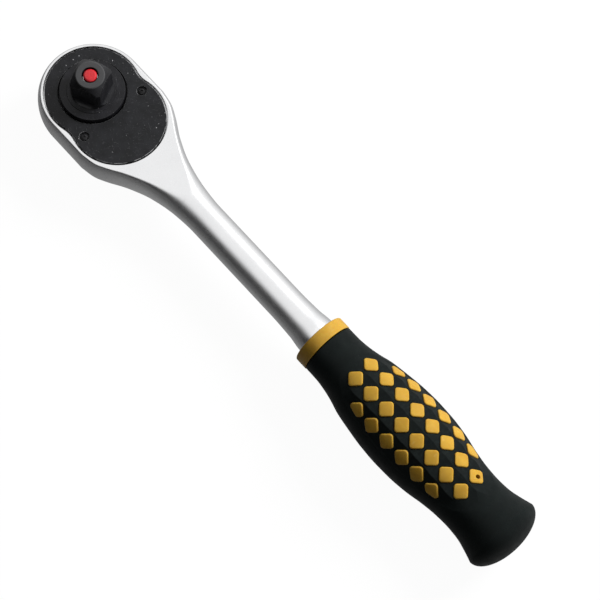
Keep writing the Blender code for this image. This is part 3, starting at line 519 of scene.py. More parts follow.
def lever_mesh():
    shell = Shell()
    top, end = -14.6, -17.4
    hub, reach, tab, edge = 6.8, 14.2, 3.4, 0.7
    profile = [(0.2, top), (0, top - 0.2), (0, end + edge)]
    profile += [(edge * (1 - math.cos(t)), end + edge * (1 - math.sin(t))) for t in quarter(6)[1:]]
    profile.append((edge + 0.3, end))
    rings = [shell.ring(belt_outline(hub - inset, reach, tab - inset), height) for inset, height in profile]
    shell.walls(rings)
    shell.sheet(rings[0])
    shell.sheet(rings[-1])
    at_rest = Matrix.Translation((REVERSER_X, 0, 0)) @ Matrix.Rotation(LEVER_ANGLE, 4, "Z")
    lever = shell.mesh("reverser_lever", at_rest)
    shaft = Shell()
    shaft.turned([(0, -3.4), (2.6, -3.4), (2.8, -3.6), (2.8, -10.2), (2.25, -10.2), (2.25, -10.9),
                  (2.8, -10.9), (2.8, -12.3), (2.25, -12.3), (2.25, -13.3), (2.8, -13.3), (2.8, -16.0),
                  (0, -16.0)], 48)
    thumb = Shell()
    ribs = [(0, -16.0), (3.0, -16.0)]
    ribs += rounded([(3.0, -16.2, 0), (3.0, -18.6, 0.3), (2.7, -18.9, 0.2), (2.2, -19.0, 0)])
    ribs += [(2.2 - 0.25 * k, -19.0 + (0.22 if k % 2 else 0)) for k in range(1, 7)]
    ribs.append((0, -19.0))
    thumb.turned(ribs, 64)
    shaft_place = Matrix.Translation((REVERSER_X, 0, 0))
    thumb_place = at_rest @ Matrix.Translation((reach, 0, 0))
    lever = combined("reverser_lever", lever, shaft.mesh("shaft", shaft_place), "UNION")
    lever = combined("reverser_lever", lever, thumb.mesh("thumb", thumb_place), "UNION")
    bore = Shell()
    bore.turned([(0, 4), (1.25, 4), (1.25, -2), (0, -2)], 32)
    place = at_rest @ Matrix.Translation((0, 0, PLUNGER_HEIGHT)) @ Matrix.Rotation(-math.pi / 2, 4, "Y")
    return combined("reverser_lever", lever, bore.mesh("plunger_bore", place), "DIFFERENCE")


# ---- grip ----

GRIP_RADIUS = smooth_curve(GRIP_OUTLINE)


def on_grip(x, angle, proud=0.0, under=1):
    """A point on the grip at an angle from its top line, or from its bottom line where under is -1."""
    radius = GRIP_RADIUS(x) + proud
    return (x, radius * math.sin(angle), MID + under * radius * math.cos(angle))


def lattice(column, row):
    """(x, arc) of a point of the pads' pattern, where whole numbers are pads."""
    across = row - (len(ROW_SPANS) - 1) / 2
    along = PAD_START + (PAD_PITCH - PITCH_LOSS * column) * column
    return Vector((along + ROW_SKEW * across, ROW_MIDDLE + ROW_PITCH * across))


def panel_level(point):
    """Below 1 inside the oval panel that holds the pads, above 1 outside."""
    x, y, half_length, half_width, power = PANEL
    return abs((point[0] - x) / half_length) ** power + abs((point[1] - y) / half_width) ** power


def panel_curve(scale, steps):
    """(x, arc) points round the panel's edge, or round the panel made larger."""
    x, y, half_length, half_width, power = PANEL
    points = []
    for turn in [TAU * k / steps for k in range(steps)]:
        c, s = math.cos(turn), math.sin(turn)
        points.append(Vector((x + scale * half_length * math.copysign(abs(c) ** (2 / power), c),
                              y + scale * half_width * math.copysign(abs(s) ** (2 / power), s))))
    return points


def panel_normal(spot):
    """The outward direction of the panel's edge at a point on it."""
    across, along = Vector((0.01, 0)), Vector((0, 0.01))
    return Vector((panel_level(spot + across) - panel_level(spot - across),
                   panel_level(spot + along) - panel_level(spot - along))).normalized()


def clipped(polygon, normal, distance):
    """The part of a convex polygon that lies behind a line."""
    out = []
    for a, b in zip(polygon, polygon[1:] + polygon[:1]):
        side_a, side_b = normal.dot(a) - distance, normal.dot(b) - distance
        if side_a <= 0:
            out.append(a)
        if side_a * side_b < 0:
            out.append(a.lerp(b, side_a / (side_a - side_b)))
    return out


def moved_in(polygon, distance):
    """A convex polygon, drawn anticlockwise, with each side moved in."""
    out = list(polygon)
    for a, b in zip(polygon, polygon[1:] + polygon[:1]):
        normal = Vector((b.y - a.y, a.x - b.x)).normalized()
        out = clipped(out, normal, normal.dot(a) - distance)
    return out


def pad_polygon(column, row):
    """The straight-sided core of a pad's outline: its cell, cut off by the panel's edge and moved in."""
    polygon = [lattice(column + dc, row + dr) for dc, dr in ((0.5, 0), (0, 0.5), (-0.5, 0), (0, -0.5))]
    for spot in panel_curve(1.0, 60):
        normal = panel_normal(spot)
        polygon = clipped(polygon, normal, normal.dot(spot) - PANEL_MARGIN)
    polygon = moved_in(polygon, PAD_INSET + PAD_CORNER)
    return [p for k, p in enumerate(polygon) if (p - polygon[k - 1]).length > 0.1]


def pads():
    """(polygon, whether it has the small hole) of every pad on one side of the grip."""
    for row, (first, last) in enumerate(ROW_SPANS):
        for column in range(first, last + 1):
            yield pad_polygon(column, row), (column, row) == HOLED_PAD


def rounded_polygon(polygon, radius, steps=6, between=3):
    """The outline at a distance outside a convex polygon, turning smoothly round its corners."""
    out = []
    for k, corner in enumerate(polygon):
        after = polygon[(k + 1) % len(polygon)]
        start, end = (corner - polygon[k - 1]).normalized(), (after - corner).normalized()
        first = math.atan2(-start.x, start.y)
        turn = (math.atan2(-end.x, end.y) - first) % TAU
        out += arc(corner.x, corner.y, radius, first, first + turn, max(1, round(steps * turn * 2 / math.pi)))
        if (after - corner).length > 1:
            last = Vector(out[-1])
            out += [tuple(last + (after - corner) * j / (between + 1)) for j in range(1, between + 1)]
    return out


def wrapped(points):
    """(x, angle) on the grip of (x, arc) points."""
    return [(x, length / GRIP_RADIUS(x)) for x, length in points]


def pad_rings(polygon, holed):
    """(points, height over the grip) of each ring of a pad, from its foot to the middle of its top."""
    edge = 0.5
    rings = [(rounded_polygon(polygon, PAD_CORNER), height) for height in (-3.2, -1.5, PAD_PROUD - edge)]
    for turn in quarter(6)[1:]:
        inset = edge * (1 - math.cos(turn))
        rings.append((rounded_polygon(polygon, PAD_CORNER - inset), PAD_PROUD - edge * (1 - math.sin(turn))))
    inner = [Vector(p) for p in rounded_polygon(polygon, PAD_CORNER - edge)]
    middle = sum(inner, Vector((0, 0))) / len(inner)
    if holed:
        middle += Vector((0.5, 0.25))
    shrunk = [([tuple(middle.lerp(p, share)) for p in inner], PAD_PROUD) for share in (0.8, 0.6, 0.42, 0.22)]
    if not holed:
        return rings + shrunk, tuple(middle), PAD_PROUD
    floor = -2.8
    walls = ((1.0, PAD_PROUD), (0.88, PAD_PROUD - 0.04), (0.82, PAD_PROUD - 0.16), (0.82, floor))
    hole = [([tuple(middle + (p - middle).normalized() * radius) for p in inner], height)
            for radius, height in walls]
    return rings + shrunk[:2] + hole, tuple(middle), floor


def pads_mesh():
    """Every pad as a cushion with rounded edges, standing up from the core."""
    shell = Shell()
    for polygon, holed in pads():
        outlines, middle, middle_height = pad_rings(polygon, holed)
        for under in (1, -1):
            rings = [shell.ring([on_grip(x, angle, height, under) for x, angle in wrapped(points)])
                     for points, height in outlines]
            shell.walls(rings)
            (x, angle), = wrapped([middle])
            shell.fan(rings[-1], on_grip(x, angle, middle_height, under))
            shell.bm.faces.new(rings[0])
    return shell.mesh("grip_pads")


def core_mesh():
    """The collar and the hidden core that runs back inside the sleeve."""
    shell = Shell()
    start, joint, radius = CORE_LOW.x, SLEEVE_LOW.x - 0.3, COLLAR_RADIUS
    collar = [(8.4, start, 0), (radius - 0.7, start, 0), (radius, start, 0.6), (radius, joint, 0.25),
              (8.6, joint, 0)]
    xs = np.linspace(SLEEVE_LOW.x + 0.3, BULGE[0], 60)
    outer = [(GRIP_RADIUS(x) - SLEEVE_WALL - 0.3, x, 0) for x in xs]
    tail = [(outer[-1][0], BULGE[0] + 1, 0.8), (6, BULGE[0] + 1, 0)]
    steps = 96
    rings = [shell.ring(circle(r, steps), z) for r, z in rounded(collar + outer + tail)]
    shell.walls(rings)
    shell.bm.faces.new(rings[-1])
    seat_end, tang_end = SHANK_END + 0.3, BULGE[0] - 3.2
    bore = [shell.ring(circle(r, steps), z) for r, z in ((6.3, tang_end), (6.3, seat_end), (8.4, seat_end))]
    shell.bm.faces.new(bore[0])
    shell.walls([*bore, rings[0]])
    along_handle = Matrix.Translation((0, 0, MID)) @ Matrix.Rotation(math.pi / 2, 4, "Y")
    return shell.mesh("grip_core", along_handle)


class FlatLayout:
    """Points and edges of the top half of the sleeve, laid out flat for triangulation."""

    def __init__(self):
        self.points, self.heights, self.edges = [], [], []

    def add(self, x, angle, height):
        self.points.append(Vector((x, angle * GRID_SCALE)))
        self.heights.append(height)
        return len(self.points) - 1

    def loop(self, outline, height):
        indices = [self.add(x, angle, height) for x, angle in outline]
        self.edges += list(zip(indices, indices[1:] + indices[:1]))
        return indices

    def clear_of(self, x, angle, distance):
        spot = Vector((x, angle * GRID_SCALE))
        return all((spot - point).length_squared > distance**2 for point in self.points)


def add_pyramids(layout):
    """The tip of each pyramid between four pads, with a crease from it to each corner of its cell."""
    corners = {}

    def place(column, row, height):
        if (column, row) not in corners:
            spot = lattice(column, row)
            (x, angle), = wrapped([spot])
            corners[column, row] = layout.add(x, angle, height) if panel_level(spot) < 0.93 else None
        return corners[column, row]

    for row in (0.5, 1.5, 2.5):
        for column in np.arange(-0.5, 8, 1):
            tip = place(column, row, PYRAMID_PEAK)
            for dc, dr in ((0.5, 0), (0, 0.5), (-0.5, 0), (0, -0.5)):
                end = place(column + dc, row + dr, PYRAMID_BASE)
                if tip is not None and end is not None:
                    layout.edges.append((tip, end))


def sleeve_layout():
    """(layout, rings of the windows) of the sleeve's top half."""
    layout = FlatLayout()
    windows = []
    for polygon, _ in pads():
        outline = rounded_polygon(polygon, PAD_CORNER + WINDOW_GAP + WINDOW_LIP)
        windows.append(layout.loop(wrapped(outline), PYRAMID_BASE))
    layout.loop(wrapped(panel_curve(1.0, 150)), PYRAMID_BASE)
    layout.loop(wrapped(panel_curve(1.035, 150)), 0.0)
    add_pyramids(layout)
    pattern = FlatLayout()
    pattern.points = list(layout.points)
    xs = np.linspace(SLEEVE_LOW.x + 0.4, BULGE[0], 64)
    for i, x in enumerate(xs):
        for k in range(HALF_STEPS + 1):
            angle = math.pi * (k / HALF_STEPS - 0.5)
            on_border = i in (0, len(xs) - 1) or k in (0, HALF_STEPS)
            outside = panel_level((x, angle * GRIP_RADIUS(x))) > 1.09
            if on_border or (outside and pattern.clear_of(x, angle, 0.6)):
                layout.add(x, angle, 0.0)
    return layout, windows


def sleeve_mesh():
    """The sleeve: its patterned surface, its plain inside, a wall round each window, and both ends."""
    layout, windows = sleeve_layout()
    found = delaunay_2d_cdt(layout.points, layout.edges, [], 0, 1e-5, True)
    flat, faces, origins = found[0], found[2], found[3]
    in_window = {}
    for number, ring in enumerate(windows):
        for index in ring:
            in_window[index] = number
    heights = [layout.heights[origin[0]] if origin else PYRAMID_BASE for origin in origins]
    home = [in_window.get(origin[0]) if origin else None for origin in origins]
    place_of = {index: k for k, origin in enumerate(origins) for index in origin}
    kept = []
    for face in faces:
        homes = {home[k] for k in face}
        if len(homes) > 1 or None in homes:
            kept.append(face)
    shell = Shell()
    for under in (1, -1):
        outer = [shell.bm.verts.new(on_grip(p.x, p.y / GRID_SCALE, h, under)) for p, h in zip(flat, heights)]
        inner = [shell.bm.verts.new(on_grip(p.x, p.y / GRID_SCALE, -SLEEVE_WALL, under)) for p in flat]
        for face in kept:
            shell.bm.faces.new([outer[k] for k in face])
            shell.bm.faces.new([inner[k] for k in reversed(face)])
        for (polygon, _), ring in zip(pads(), windows):
            mouth = wrapped(rounded_polygon(polygon, PAD_CORNER + WINDOW_GAP))
            lip = shell.ring([on_grip(x, angle, PYRAMID_BASE - WINDOW_LIP, under) for x, angle in mouth])
            top, foot = [[layer[place_of[index]] for index in ring] for layer in (outer, inner)]
            shell.walls([top, lip, foot])
    add_sleeve_ends(shell)
    return shell.mesh("grip_sleeve")


def grip_ring(shell, x, radius):
    turns = [math.pi * (k / HALF_STEPS - 0.5) for k in range(2 * HALF_STEPS)]
    return shell.ring([(x, radius * math.sin(turn), MID + radius * math.cos(turn)) for turn in turns])


def add_sleeve_ends(shell):
    """The front edge, and the domed butt with the inside's flat end."""
    start, wall, edge = SLEEVE_LOW.x, SLEEVE_WALL, 0.4
    radius = GRIP_RADIUS(start + edge)
    front = [(start + edge * (1 - math.sin(t)), radius - edge * (1 - math.cos(t)))
             for t in quarter(4)]
    front += [(start, radius - wall + 0.2), (start + edge, radius - wall)]
    shell.walls([grip_ring(shell, x, r) for x, r in front])
    depth = SLEEVE_HIGH.x - BULGE[0]
    dome = [(BULGE[0] + depth * math.sin(t), BULGE[1] * math.cos(t)) for t in quarter(28)[:-1]]
    rings = [grip_ring(shell, x, r) for x, r in dome]
    shell.walls(rings)
    shell.fan(rings[-1], (SLEEVE_HIGH.x, 0, MID))
    floor_x = BULGE[0] + 1.3
    inside = ((BULGE[0], BULGE[1] - wall), (floor_x, BULGE[1] - wall - 0.3))
    floor = [grip_ring(shell, x, r) for x, r in inside]
    shell.walls(floor)
    shell.fan(floor[-1], (floor_x, 0, MID))


# ---- materials ----

def grey(level):
    return (level,) * 3


class Look:
    """A procedural material being put together. Its textures' sizes are in millimetres."""

    def __init__(self, name, metallic=0.0, specular=0.5):
        self.material = bpy.data.materials.new(name)
        self.material.use_nodes = True
        self.tree = self.material.node_tree
        self.shader = self.tree.nodes["Principled BSDF"]
        self.place = self.node("ShaderNodeTexCoord").outputs["Object"]
        self.edges = self.node("ShaderNodeNewGeometry").outputs["Pointiness"]
        self.normal = None
        self.set(Metallic=metallic, Specular_IOR_Level=specular)

    def connect(self, socket, value):
        if isinstance(value, bpy.types.NodeSocket):
            self.tree.links.new(value, socket)
        else:
            socket.default_value = value

    def node(self, kind, **inputs):
        made = self.tree.nodes.new(kind)
        for name, value in inputs.items():
            self.connect(made.inputs[name.replace("_", " ")], value)
        return made

    def set(self, **inputs):
        for name, value in inputs.items():
            self.connect(self.shader.inputs[name.replace("_", " ")], value)

    def noise(self, size, detail=3.0, stretch=(1, 1, 1), turn=0.0):
        """Noise with features of about this size, stretched along the axes after a turn about Z."""
        scale = [1 / (size * MM * length) for length in stretch]
        turned = self.node("ShaderNodeMapping", Vector=self.place, Rotation=(0, 0, turn))
        placed = self.node("ShaderNodeMapping", Vector=turned.outputs[0], Scale=scale)
        made = self.node("ShaderNodeTexNoise", Vector=placed.outputs[0], Scale=1.0, Detail=detail)
        return made.outputs["Fac"]

    def ranged(self, value, low, high, start=0.0, end=1.0):
        """A value that goes from start to end while the given one goes from low to high."""
        made = self.node("ShaderNodeMapRange", Value=value, From_Min=low, From_Max=high,
                         To_Min=start, To_Max=end)
        return made.outputs["Result"]

    def times(self, first, second, operation="MULTIPLY"):
        made = self.tree.nodes.new("ShaderNodeMath")
        made.operation = operation
        made.use_clamp = True
        self.connect(made.inputs[0], first)
        self.connect(made.inputs[1], second)
        return made.outputs[0]

    def mix(self, factor, first, second):
        made = self.tree.nodes.new("ShaderNodeMix")
        made.data_type = "RGBA"
        for socket, value in zip((made.inputs[0], made.inputs[6], made.inputs[7]), (factor, first, second)):
            if isinstance(value, tuple):
                value = (*value, 1.0)
            self.connect(socket, value)
        return made.outputs[2]

    def bump(self, height, depth, strength=1.0):
        """Adds relief of about this depth."""
        made = self.node("ShaderNodeBump", Height=height, Distance=depth * MM, Strength=strength)
        if self.normal:
            self.connect(made.inputs["Normal"], self.normal)
        self.normal = made.outputs[0]
        self.set(Normal=self.normal)

    def above(self, height):
        """1 above a height in millimetres, and 0 below it."""
        position = self.node("ShaderNodeNewGeometry").outputs["Position"]
        level = self.node("ShaderNodeSeparateXYZ", Vector=position).outputs["Z"]
        return self.ranged(level, (height - 0.1) * MM, height * MM)

    def leaning(self):
        """1 where the surface leans, as on a rounded edge, and 0 where it is level or upright."""
        normal = self.node("ShaderNodeNewGeometry").outputs["Normal"]
        rise = self.node("ShaderNodeSeparateXYZ", Vector=normal).outputs["Z"]
        return self.times(self.ranged(rise, 0.97, 0.85), self.ranged(rise, 0.2, 0.5))

    def scratches(self, size, least, most):
        """Fine streaks in two directions, 1 on a streak."""
        found = None
        for turn in (0.5, -0.9):
            streak = self.noise(size, 2.0, (30, 1, 30), turn)
            line = self.ranged(streak, least, most)
            found = line if found is None else self.times(found, line, "MAXIMUM")
        return found


def satin_chrome():
    """Pearl chrome: a fine blasted grain, polished where it is handled, and painted shade that darkens its
    concave corners.
    """
    look = Look("satin_chrome", metallic=1.0)
    cloud = look.noise(9, 4)
    # painted shade: the base colour is darkened in the mesh's concave corners, where shade would fall
    painted_concave_shade = look.ranged(look.edges, 0.49, 0.44)
    shine = look.ranged(look.edges, 0.51, 0.56)
    base = look.mix(cloud, (0.74, 0.745, 0.755), (0.82, 0.82, 0.825))
    base = look.mix(look.times(shine, 0.6), base, grey(0.9))
    base = look.mix(look.times(painted_concave_shade, 0.45), base, (0.2, 0.19, 0.18))
    rough = look.mix(look.noise(2.5, 5), grey(0.28), grey(0.38))
    rough = look.mix(look.scratches(0.12, 0.66, 0.74), rough, grey(0.2))
    rough = look.mix(look.times(shine, 0.7), rough, grey(0.17))
    look.set(Base_Color=base, Roughness=rough)
    look.bump(look.noise(0.16, 2), 0.004, 0.5)
    look.bump(look.noise(3.5, 2), 0.02, 0.12)
    look.bump(look.scratches(0.12, 0.66, 0.74), 0.002, 0.3)
    return look.material


def blackened(name, base, sheen, wear, nicks, specular=0.25, worn_from=None):
    """Blackened steel that rubs through to bare metal on its edges, with small nicks and scratches.

    The edges are where the mesh is pointed, within the range given, or without one where the surface leans.
    Above the height worn_from, in millimetres, the black has gone grey.
    """
    look = Look(name, specular=specular)
    patches = look.ranged(look.noise(1.6, 5), 0.42, 0.62)
    edges = look.ranged(look.edges, *wear) if wear else look.leaning()
    rubbed = look.times(edges, patches)
    nick = look.ranged(look.noise(0.9, 2), *nicks)
    scratch = look.times(look.scratches(0.08, 0.7, 0.78), 0.35)
    bare = look.times(look.times(rubbed, nick, "MAXIMUM"), scratch, "MAXIMUM")
    lighter = tuple(2.1 * part for part in base)
    dark = look.mix(look.ranged(look.noise(4, 6), 0.35, 0.65), base, lighter)
    if worn_from is not None:
        dark = look.mix(look.above(worn_from), dark, (0.05, 0.05, 0.052))
    look.set(Base_Color=look.mix(bare, dark, (0.5, 0.5, 0.51)), Metallic=bare)
    low, high = sheen
    rough = look.mix(look.noise(3, 5), grey(low), grey(high))
    look.set(Roughness=look.mix(bare, rough, grey(0.3)))
    look.bump(look.noise(0.22, 3), 0.006, 0.45)
    look.bump(bare, 0.01, -0.4)
    return look.material


def steel(name, colour, sheen, grain, edge_shine=0.6):
    """Machined steel: a directional grain, faint clouds of oil and brighter edges."""
    look = Look(name, metallic=1.0)
    darker = tuple(0.78 * part for part in colour)
    base = look.mix(look.noise(2.2, 4), darker, colour)
    shine = look.times(look.ranged(look.edges, 0.51, 0.57), edge_shine)
    base = look.mix(shine, base, (0.85, 0.85, 0.86))
    low, high = sheen
    rough = look.mix(look.noise(0.7, 4), grey(low), grey(high))
    look.set(Base_Color=base, Roughness=rough)
    look.bump(look.noise(0.12, 2, grain), 0.003, 0.5)
    return look.material


def red_enamel():
    """Glossy paint with orange peel, chipped here and there on its edge."""
    look = Look("red_enamel", specular=0.45)
    base = look.mix(look.ranged(look.noise(0.8, 4), 0.3, 0.7), (0.42, 0.006, 0.012), (0.58, 0.014, 0.022))
    chip = look.times(look.ranged(look.edges, 0.53, 0.58), look.ranged(look.noise(0.5, 3), 0.55, 0.65))
    base = look.mix(look.times(chip, 0.7), base, (0.3, 0.1, 0.09))
    look.set(Base_Color=base, Roughness=look.ranged(look.noise(0.6, 4), 0.3, 0.7, 0.24, 0.42))
    look.set(Coat_Weight=0.3, Coat_Roughness=0.2)
    look.bump(look.noise(0.5, 2), 0.01, 0.3)
    return look.material


def rubber(name, base, sheen, grain):
    """Moulded rubber: a fine matte skin, blooms of dust, and scuffs that are a little greyer."""
    look = Look(name, specular=0.11)
    scuffed = look.times(look.ranged(look.edges, 0.51, 0.58), look.ranged(look.noise(1.2, 4), 0.45, 0.65))
    dusty = look.ranged(look.noise(6, 6), 0.45, 0.8, 0.0, 0.35)
    paler = tuple(2.4 * part for part in base)
    colour = look.mix(look.times(dusty, scuffed, "MAXIMUM"), base, paler)
    speck = look.ranged(look.noise(0.35, 2), 0.74, 0.8, 0.0, 0.5)
    colour = look.mix(speck, colour, (0.09, 0.09, 0.085))
    low, high = sheen
    look.set(Base_Color=colour, Roughness=look.ranged(look.noise(2.5, 5), 0.3, 0.7, low, high))
    look.bump(look.noise(grain, 3), 0.05, 0.35)
    look.bump(look.noise(4, 2), 0.1, 0.1)
    return look.material


def yellow_nylon():
    """Slightly clear amber nylon: flow marks, a painted highlight in patches on the pads' rims, and painted
    shade where it dips or is shut in.
    """
    look = Look("yellow_nylon", specular=0.4)
    base = look.mix(look.ranged(look.noise(4, 4), 0.3, 0.7), (0.42, 0.23, 0.018), (0.5, 0.295, 0.03))
    flow = look.ranged(look.noise(0.9, 4, (1, 4, 4), 0.4), 0.35, 0.7, 0.0, 0.4)
    base = look.mix(flow, base, (0.46, 0.255, 0.02))
    # painted highlight: the pads' convex rims are lightened in the base colour, in patches
    rim = look.times(look.ranged(look.edges, 0.51, 0.56), look.ranged(look.noise(1.0, 4), 0.3, 0.55))
    base = look.mix(look.times(rim, 0.15), base, (0.6, 0.5, 0.2))
    # painted shade: the base colour is darkened in concave creases and dips
    painted_concave_shade = look.times(look.ranged(look.edges, 0.49, 0.45), 0.6)
    base = look.mix(painted_concave_shade, base, (0.16, 0.08, 0.02))
    # painted shade: ambient occlusion darkens shut-in recesses, such as the holed pad's hole, nearly to black
    painted_recess_shade = look.node("ShaderNodeAmbientOcclusion", Distance=1.5 * MM).outputs["AO"]
    base = look.mix(look.ranged(painted_recess_shade, 0.4, 0.2), base, (0.01, 0.005, 0.002))
    speck = look.ranged(look.noise(0.3, 2), 0.72, 0.8, 0.0, 0.55)
    base = look.mix(speck, base, (0.3, 0.17, 0.05))
    look.set(Base_Color=base, Roughness=look.ranged(look.noise(1.5, 5), 0.3, 0.7, 0.34, 0.5))
    look.set(Subsurface_Weight=0.25, Subsurface_Radius=(1.0, 0.5, 0.15), Subsurface_Scale=1.2 * MM)
    look.bump(look.noise(0.3, 3), 0.012, 0.35)
    return look.material


CHROME = satin_chrome()
# name, base colour, roughness range, where edges rub through, where nicks show
PLATE_BLACK = blackened("black_oxide_plate", (0.005, 0.0052, 0.006), (0.42, 0.56), None, (0.72, 0.77))
SCREW_BLACK = blackened("black_oxide_screw", (0.006, 0.006, 0.0065), (0.42, 0.56), (0.6, 0.66), (0.75, 0.79))
DRIVE_BLACK = blackened("black_oxide_drive", (0.005, 0.005, 0.006), (0.36, 0.5), (0.64, 0.72), (0.84, 0.88),
                        worn_from=-0.3)
LEVER_BLACK = blackened("lever_black", (0.012, 0.012, 0.013), (0.38, 0.55), (0.52, 0.57), (0.76, 0.8), 0.35)
BRIGHT_STEEL = steel("bright_steel", (0.62, 0.62, 0.63), (0.14, 0.24), (1, 12, 1))
TOOL_STEEL = steel("tool_steel", (0.36, 0.355, 0.35), (0.28, 0.42), (12, 1, 1), 0.4)
SPRING_STEEL = steel("spring_steel", (0.45, 0.44, 0.42), (0.22, 0.36), (1, 1, 12), 0.3)
BUTTON_STEEL = steel("button_steel", (0.55, 0.55, 0.56), (0.2, 0.32), (8, 8, 1))
RED = red_enamel()
SEAL_RUBBER = rubber("seal_rubber", (0.011, 0.011, 0.011), (0.45, 0.6), 0.2)
GRIP_RUBBER = rubber("black_rubber", (0.0035, 0.0052, 0.005), (0.46, 0.6), 0.3)
AMBER = yellow_nylon()


# ---- the wrench ----

piece("chromed_body", body_mesh(), CHROME, "handle", "satin_chrome", "ratchet_body")
piece("lobed_plate", cover_plate_mesh(), PLATE_BLACK, "handle", "black_oxide_plate", "cover_plate")
for side, spot in zip(("left", "right"), SCREW_SPOTS):
    piece(f"plate_screw_{side}", cover_screw_mesh(spot), SCREW_BLACK, "handle", "black_oxide_plate",
          f"cover_screw_{side}")
piece("square_drive", spindle_mesh(), DRIVE_BLACK, "drive", "black_oxide_drive", "drive_spindle", sharp=30)
piece("red_tip", release_tip_mesh(), RED, "release", "red_enamel", "release_tip")
piece("thumb_button", release_button_mesh(), BUTTON_STEEL, "release", "button_steel", "release_button")
piece("switch_lever", lever_mesh(), LEVER_BLACK, "reverser", "lever_black", "reverser_lever")
piece("amber_core", core_mesh(), AMBER, "handle", "yellow_nylon", "grip_core")
piece("amber_pads", pads_mesh(), AMBER, "handle", "yellow_nylon")
piece("rubber_sleeve", sleeve_mesh(), GRIP_RUBBER, "handle", "black_rubber", "grip_sleeve", sharp=14)


# ---- what the CAD already shapes well ----

def dress(node, material, levels=0, bevel=0.0):
    """Gives a CAD node its material, and rounds its surface or its edges."""
    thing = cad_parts[node]
    thing.data.materials.clear()
    thing.data.materials.append(material)
    if bevel:
        rounding = thing.modifiers.new("edges", "BEVEL")
        rounding.width = bevel * MM
        rounding.segments = 2
        rounding.limit_method = "ANGLE"
    if levels:
        smoothing = thing.modifiers.new("smooth", "SUBSURF")
        smoothing.levels = smoothing.render_levels = levels


dress("detent_ball", BRIGHT_STEEL, levels=2)
for node in ("thrust_washer", "release_plunger", "pawl_pin", "reverser_plunger"):
    dress(node, BRIGHT_STEEL)
dress("pawl", TOOL_STEEL, bevel=0.1)
dress("lever_clip", SPRING_STEEL, bevel=0.06)
for node in ("release_spring", "reverser_spring"):
    dress(node, SPRING_STEEL, levels=1)
for node in ("drive_seal", "lever_seal"):
    dress(node, SEAL_RUBBER, levels=1)


# ---- light, floor and camera ----

TARGET = Vector((114.48, 3.23, -DRIVE_END)) * MM
AZIMUTH, ELEVATION, ROLL = math.radians(42.77), math.radians(71.74), math.radians(5.45)
CAMERA_DISTANCE, CAMERA_LENS = 0.779, 126.4

BRIGHT_SIDE = (0, 0.74, 0.67)
DULL_ROOM = (-0.1, 0.8, 0.02, 0.36)  # range over which the room brightens towards that side, dark and bright
METAL_ROOM = (-0.24, 0.3, 0.03, 1.06)
FLOOR_IN_METAL = (0.11, 0.75)
FLOOR_RAMP = (-0.05, 0.08)  # metres across the floor over which its reflection brightens
FLOOR_SIZE, FLOOR_GAP = 3.0, 0.02 * MM


def floor_material():
    """White paper to the eye, and in the metal a grey that is darker on the wrench's left."""
    look = Look("paper", specular=0.1)
    path = look.node("ShaderNodeLightPath")
    to_eye, in_metal = path.outputs["Is Camera Ray"], path.outputs["Is Glossy Ray"]
    side = look.node("ShaderNodeSeparateXYZ", Vector=look.place).outputs["Y"]
    shade = look.ranged(side, *FLOOR_RAMP, *FLOOR_IN_METAL)
    grain = look.mix(look.noise(1.5, 4), grey(0.86), grey(0.9))
    dull = look.mix(in_metal, grey(0.25), grey(0.0))
    look.set(Base_Color=look.mix(to_eye, dull, look.mix(0.95, grain, grey(0.0))), Roughness=0.9)
    glow = look.mix(to_eye, look.mix(in_metal, grey(0.0), shade), grey(0.96))
    look.set(Emission_Color=glow, Emission_Strength=1.0)
    look.material.cycles.emission_sampling = "NONE"
    return look.material


def add_floor():
    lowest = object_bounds()[0].z
    bm = bmesh.new()
    bmesh.ops.create_grid(bm, x_segments=1, y_segments=1, size=FLOOR_SIZE)
    mesh = bpy.data.meshes.new("floor")
    bm.to_mesh(mesh)
    bm.free()
    mesh.materials.append(floor_material())
    floor = bpy.data.objects.new("floor", mesh)
    floor.location.z = lowest - FLOOR_GAP
    bpy.context.scene.collection.objects.link(floor)


def add_softbox(name, direction, distance, size, power, in_metal=True):
    """A square area light that faces the wrench."""
    light = bpy.data.lights.new(name, "AREA")
    light.shape = "SQUARE"
    light.size = size
    light.energy = power
    lamp = bpy.data.objects.new(name, light)
    away = Vector(direction).normalized()
    lamp.location = TARGET + away * distance
    lamp.rotation_euler = away.to_track_quat("Z", "Y").to_euler()
    lamp.visible_glossy = in_metal
    bpy.context.scene.collection.objects.link(lamp)


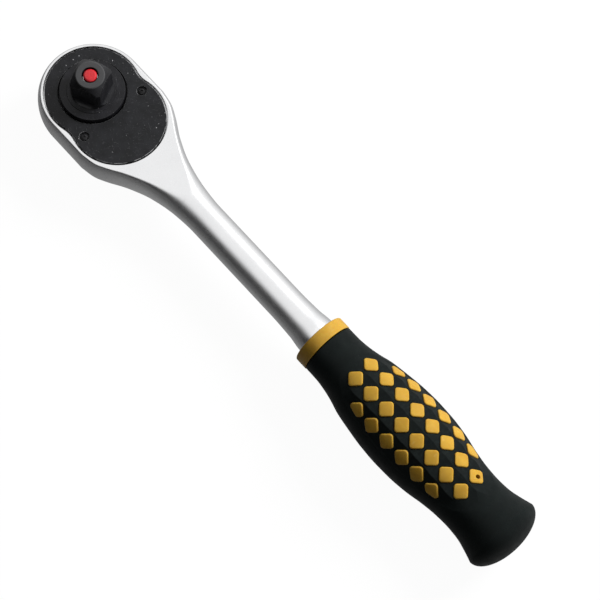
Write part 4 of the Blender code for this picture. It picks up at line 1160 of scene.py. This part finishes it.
def add_world():
    """A room that is bright overhead and on the wrench's right, and dark on its left.

    What metal reflects has the sharper edge, and the light on dull surfaces is dimmer.
    """
    world = bpy.data.worlds.new("studio")
    world.use_nodes = True
    tree = world.node_tree
    nodes, links = tree.nodes, tree.links
    place = nodes.new("ShaderNodeTexCoord")
    slope = nodes.new("ShaderNodeVectorMath")
    slope.operation = "DOT_PRODUCT"
    slope.inputs[1].default_value = BRIGHT_SIDE
    links.new(place.outputs["Generated"], slope.inputs[0])
    strengths = []
    for low, high, dark, bright in (DULL_ROOM, METAL_ROOM):
        ramp = nodes.new("ShaderNodeMapRange")
        ramp.interpolation_type = "SMOOTHSTEP"
        for name, value in zip(("From Min", "From Max", "To Min", "To Max"), (low, high, dark, bright)):
            ramp.inputs[name].default_value = value
        links.new(slope.outputs["Value"], ramp.inputs["Value"])
        strengths.append(ramp.outputs["Result"])
    choose = nodes.new("ShaderNodeMix")
    links.new(nodes.new("ShaderNodeLightPath").outputs["Is Glossy Ray"], choose.inputs[0])
    links.new(strengths[0], choose.inputs[2])
    links.new(strengths[1], choose.inputs[3])
    links.new(choose.outputs[0], nodes["Background"].inputs["Strength"])
    nodes["Background"].inputs["Color"].default_value = (1, 1, 1, 1)
    world.cycles.sampling_method = "NONE"
    bpy.context.scene.world = world


def add_camera():
    away = Vector((math.sin(AZIMUTH) * math.cos(ELEVATION), -math.cos(AZIMUTH) * math.cos(ELEVATION),
                   math.sin(ELEVATION)))
    data = bpy.data.cameras.new("camera")
    data.lens = CAMERA_LENS
    camera = bpy.data.objects.new("camera", data)
    camera.location = TARGET + away * CAMERA_DISTANCE
    camera.rotation_euler = (away.to_track_quat("Z", "Y") @ Quaternion((0, 0, 1), ROLL)).to_euler()
    bpy.context.scene.collection.objects.link(camera)
    bpy.context.scene.camera = camera


add_world()
add_floor()
add_softbox("key", (0.15, 0.78, 0.6), 1.0, 0.4, 16.0, in_metal=False)
add_softbox("sheen", (-0.1, 0.75, 0.65), 1.0, 0.5, 1.0)
add_camera()
bpy.context.scene.view_settings.view_transform = "Standard"
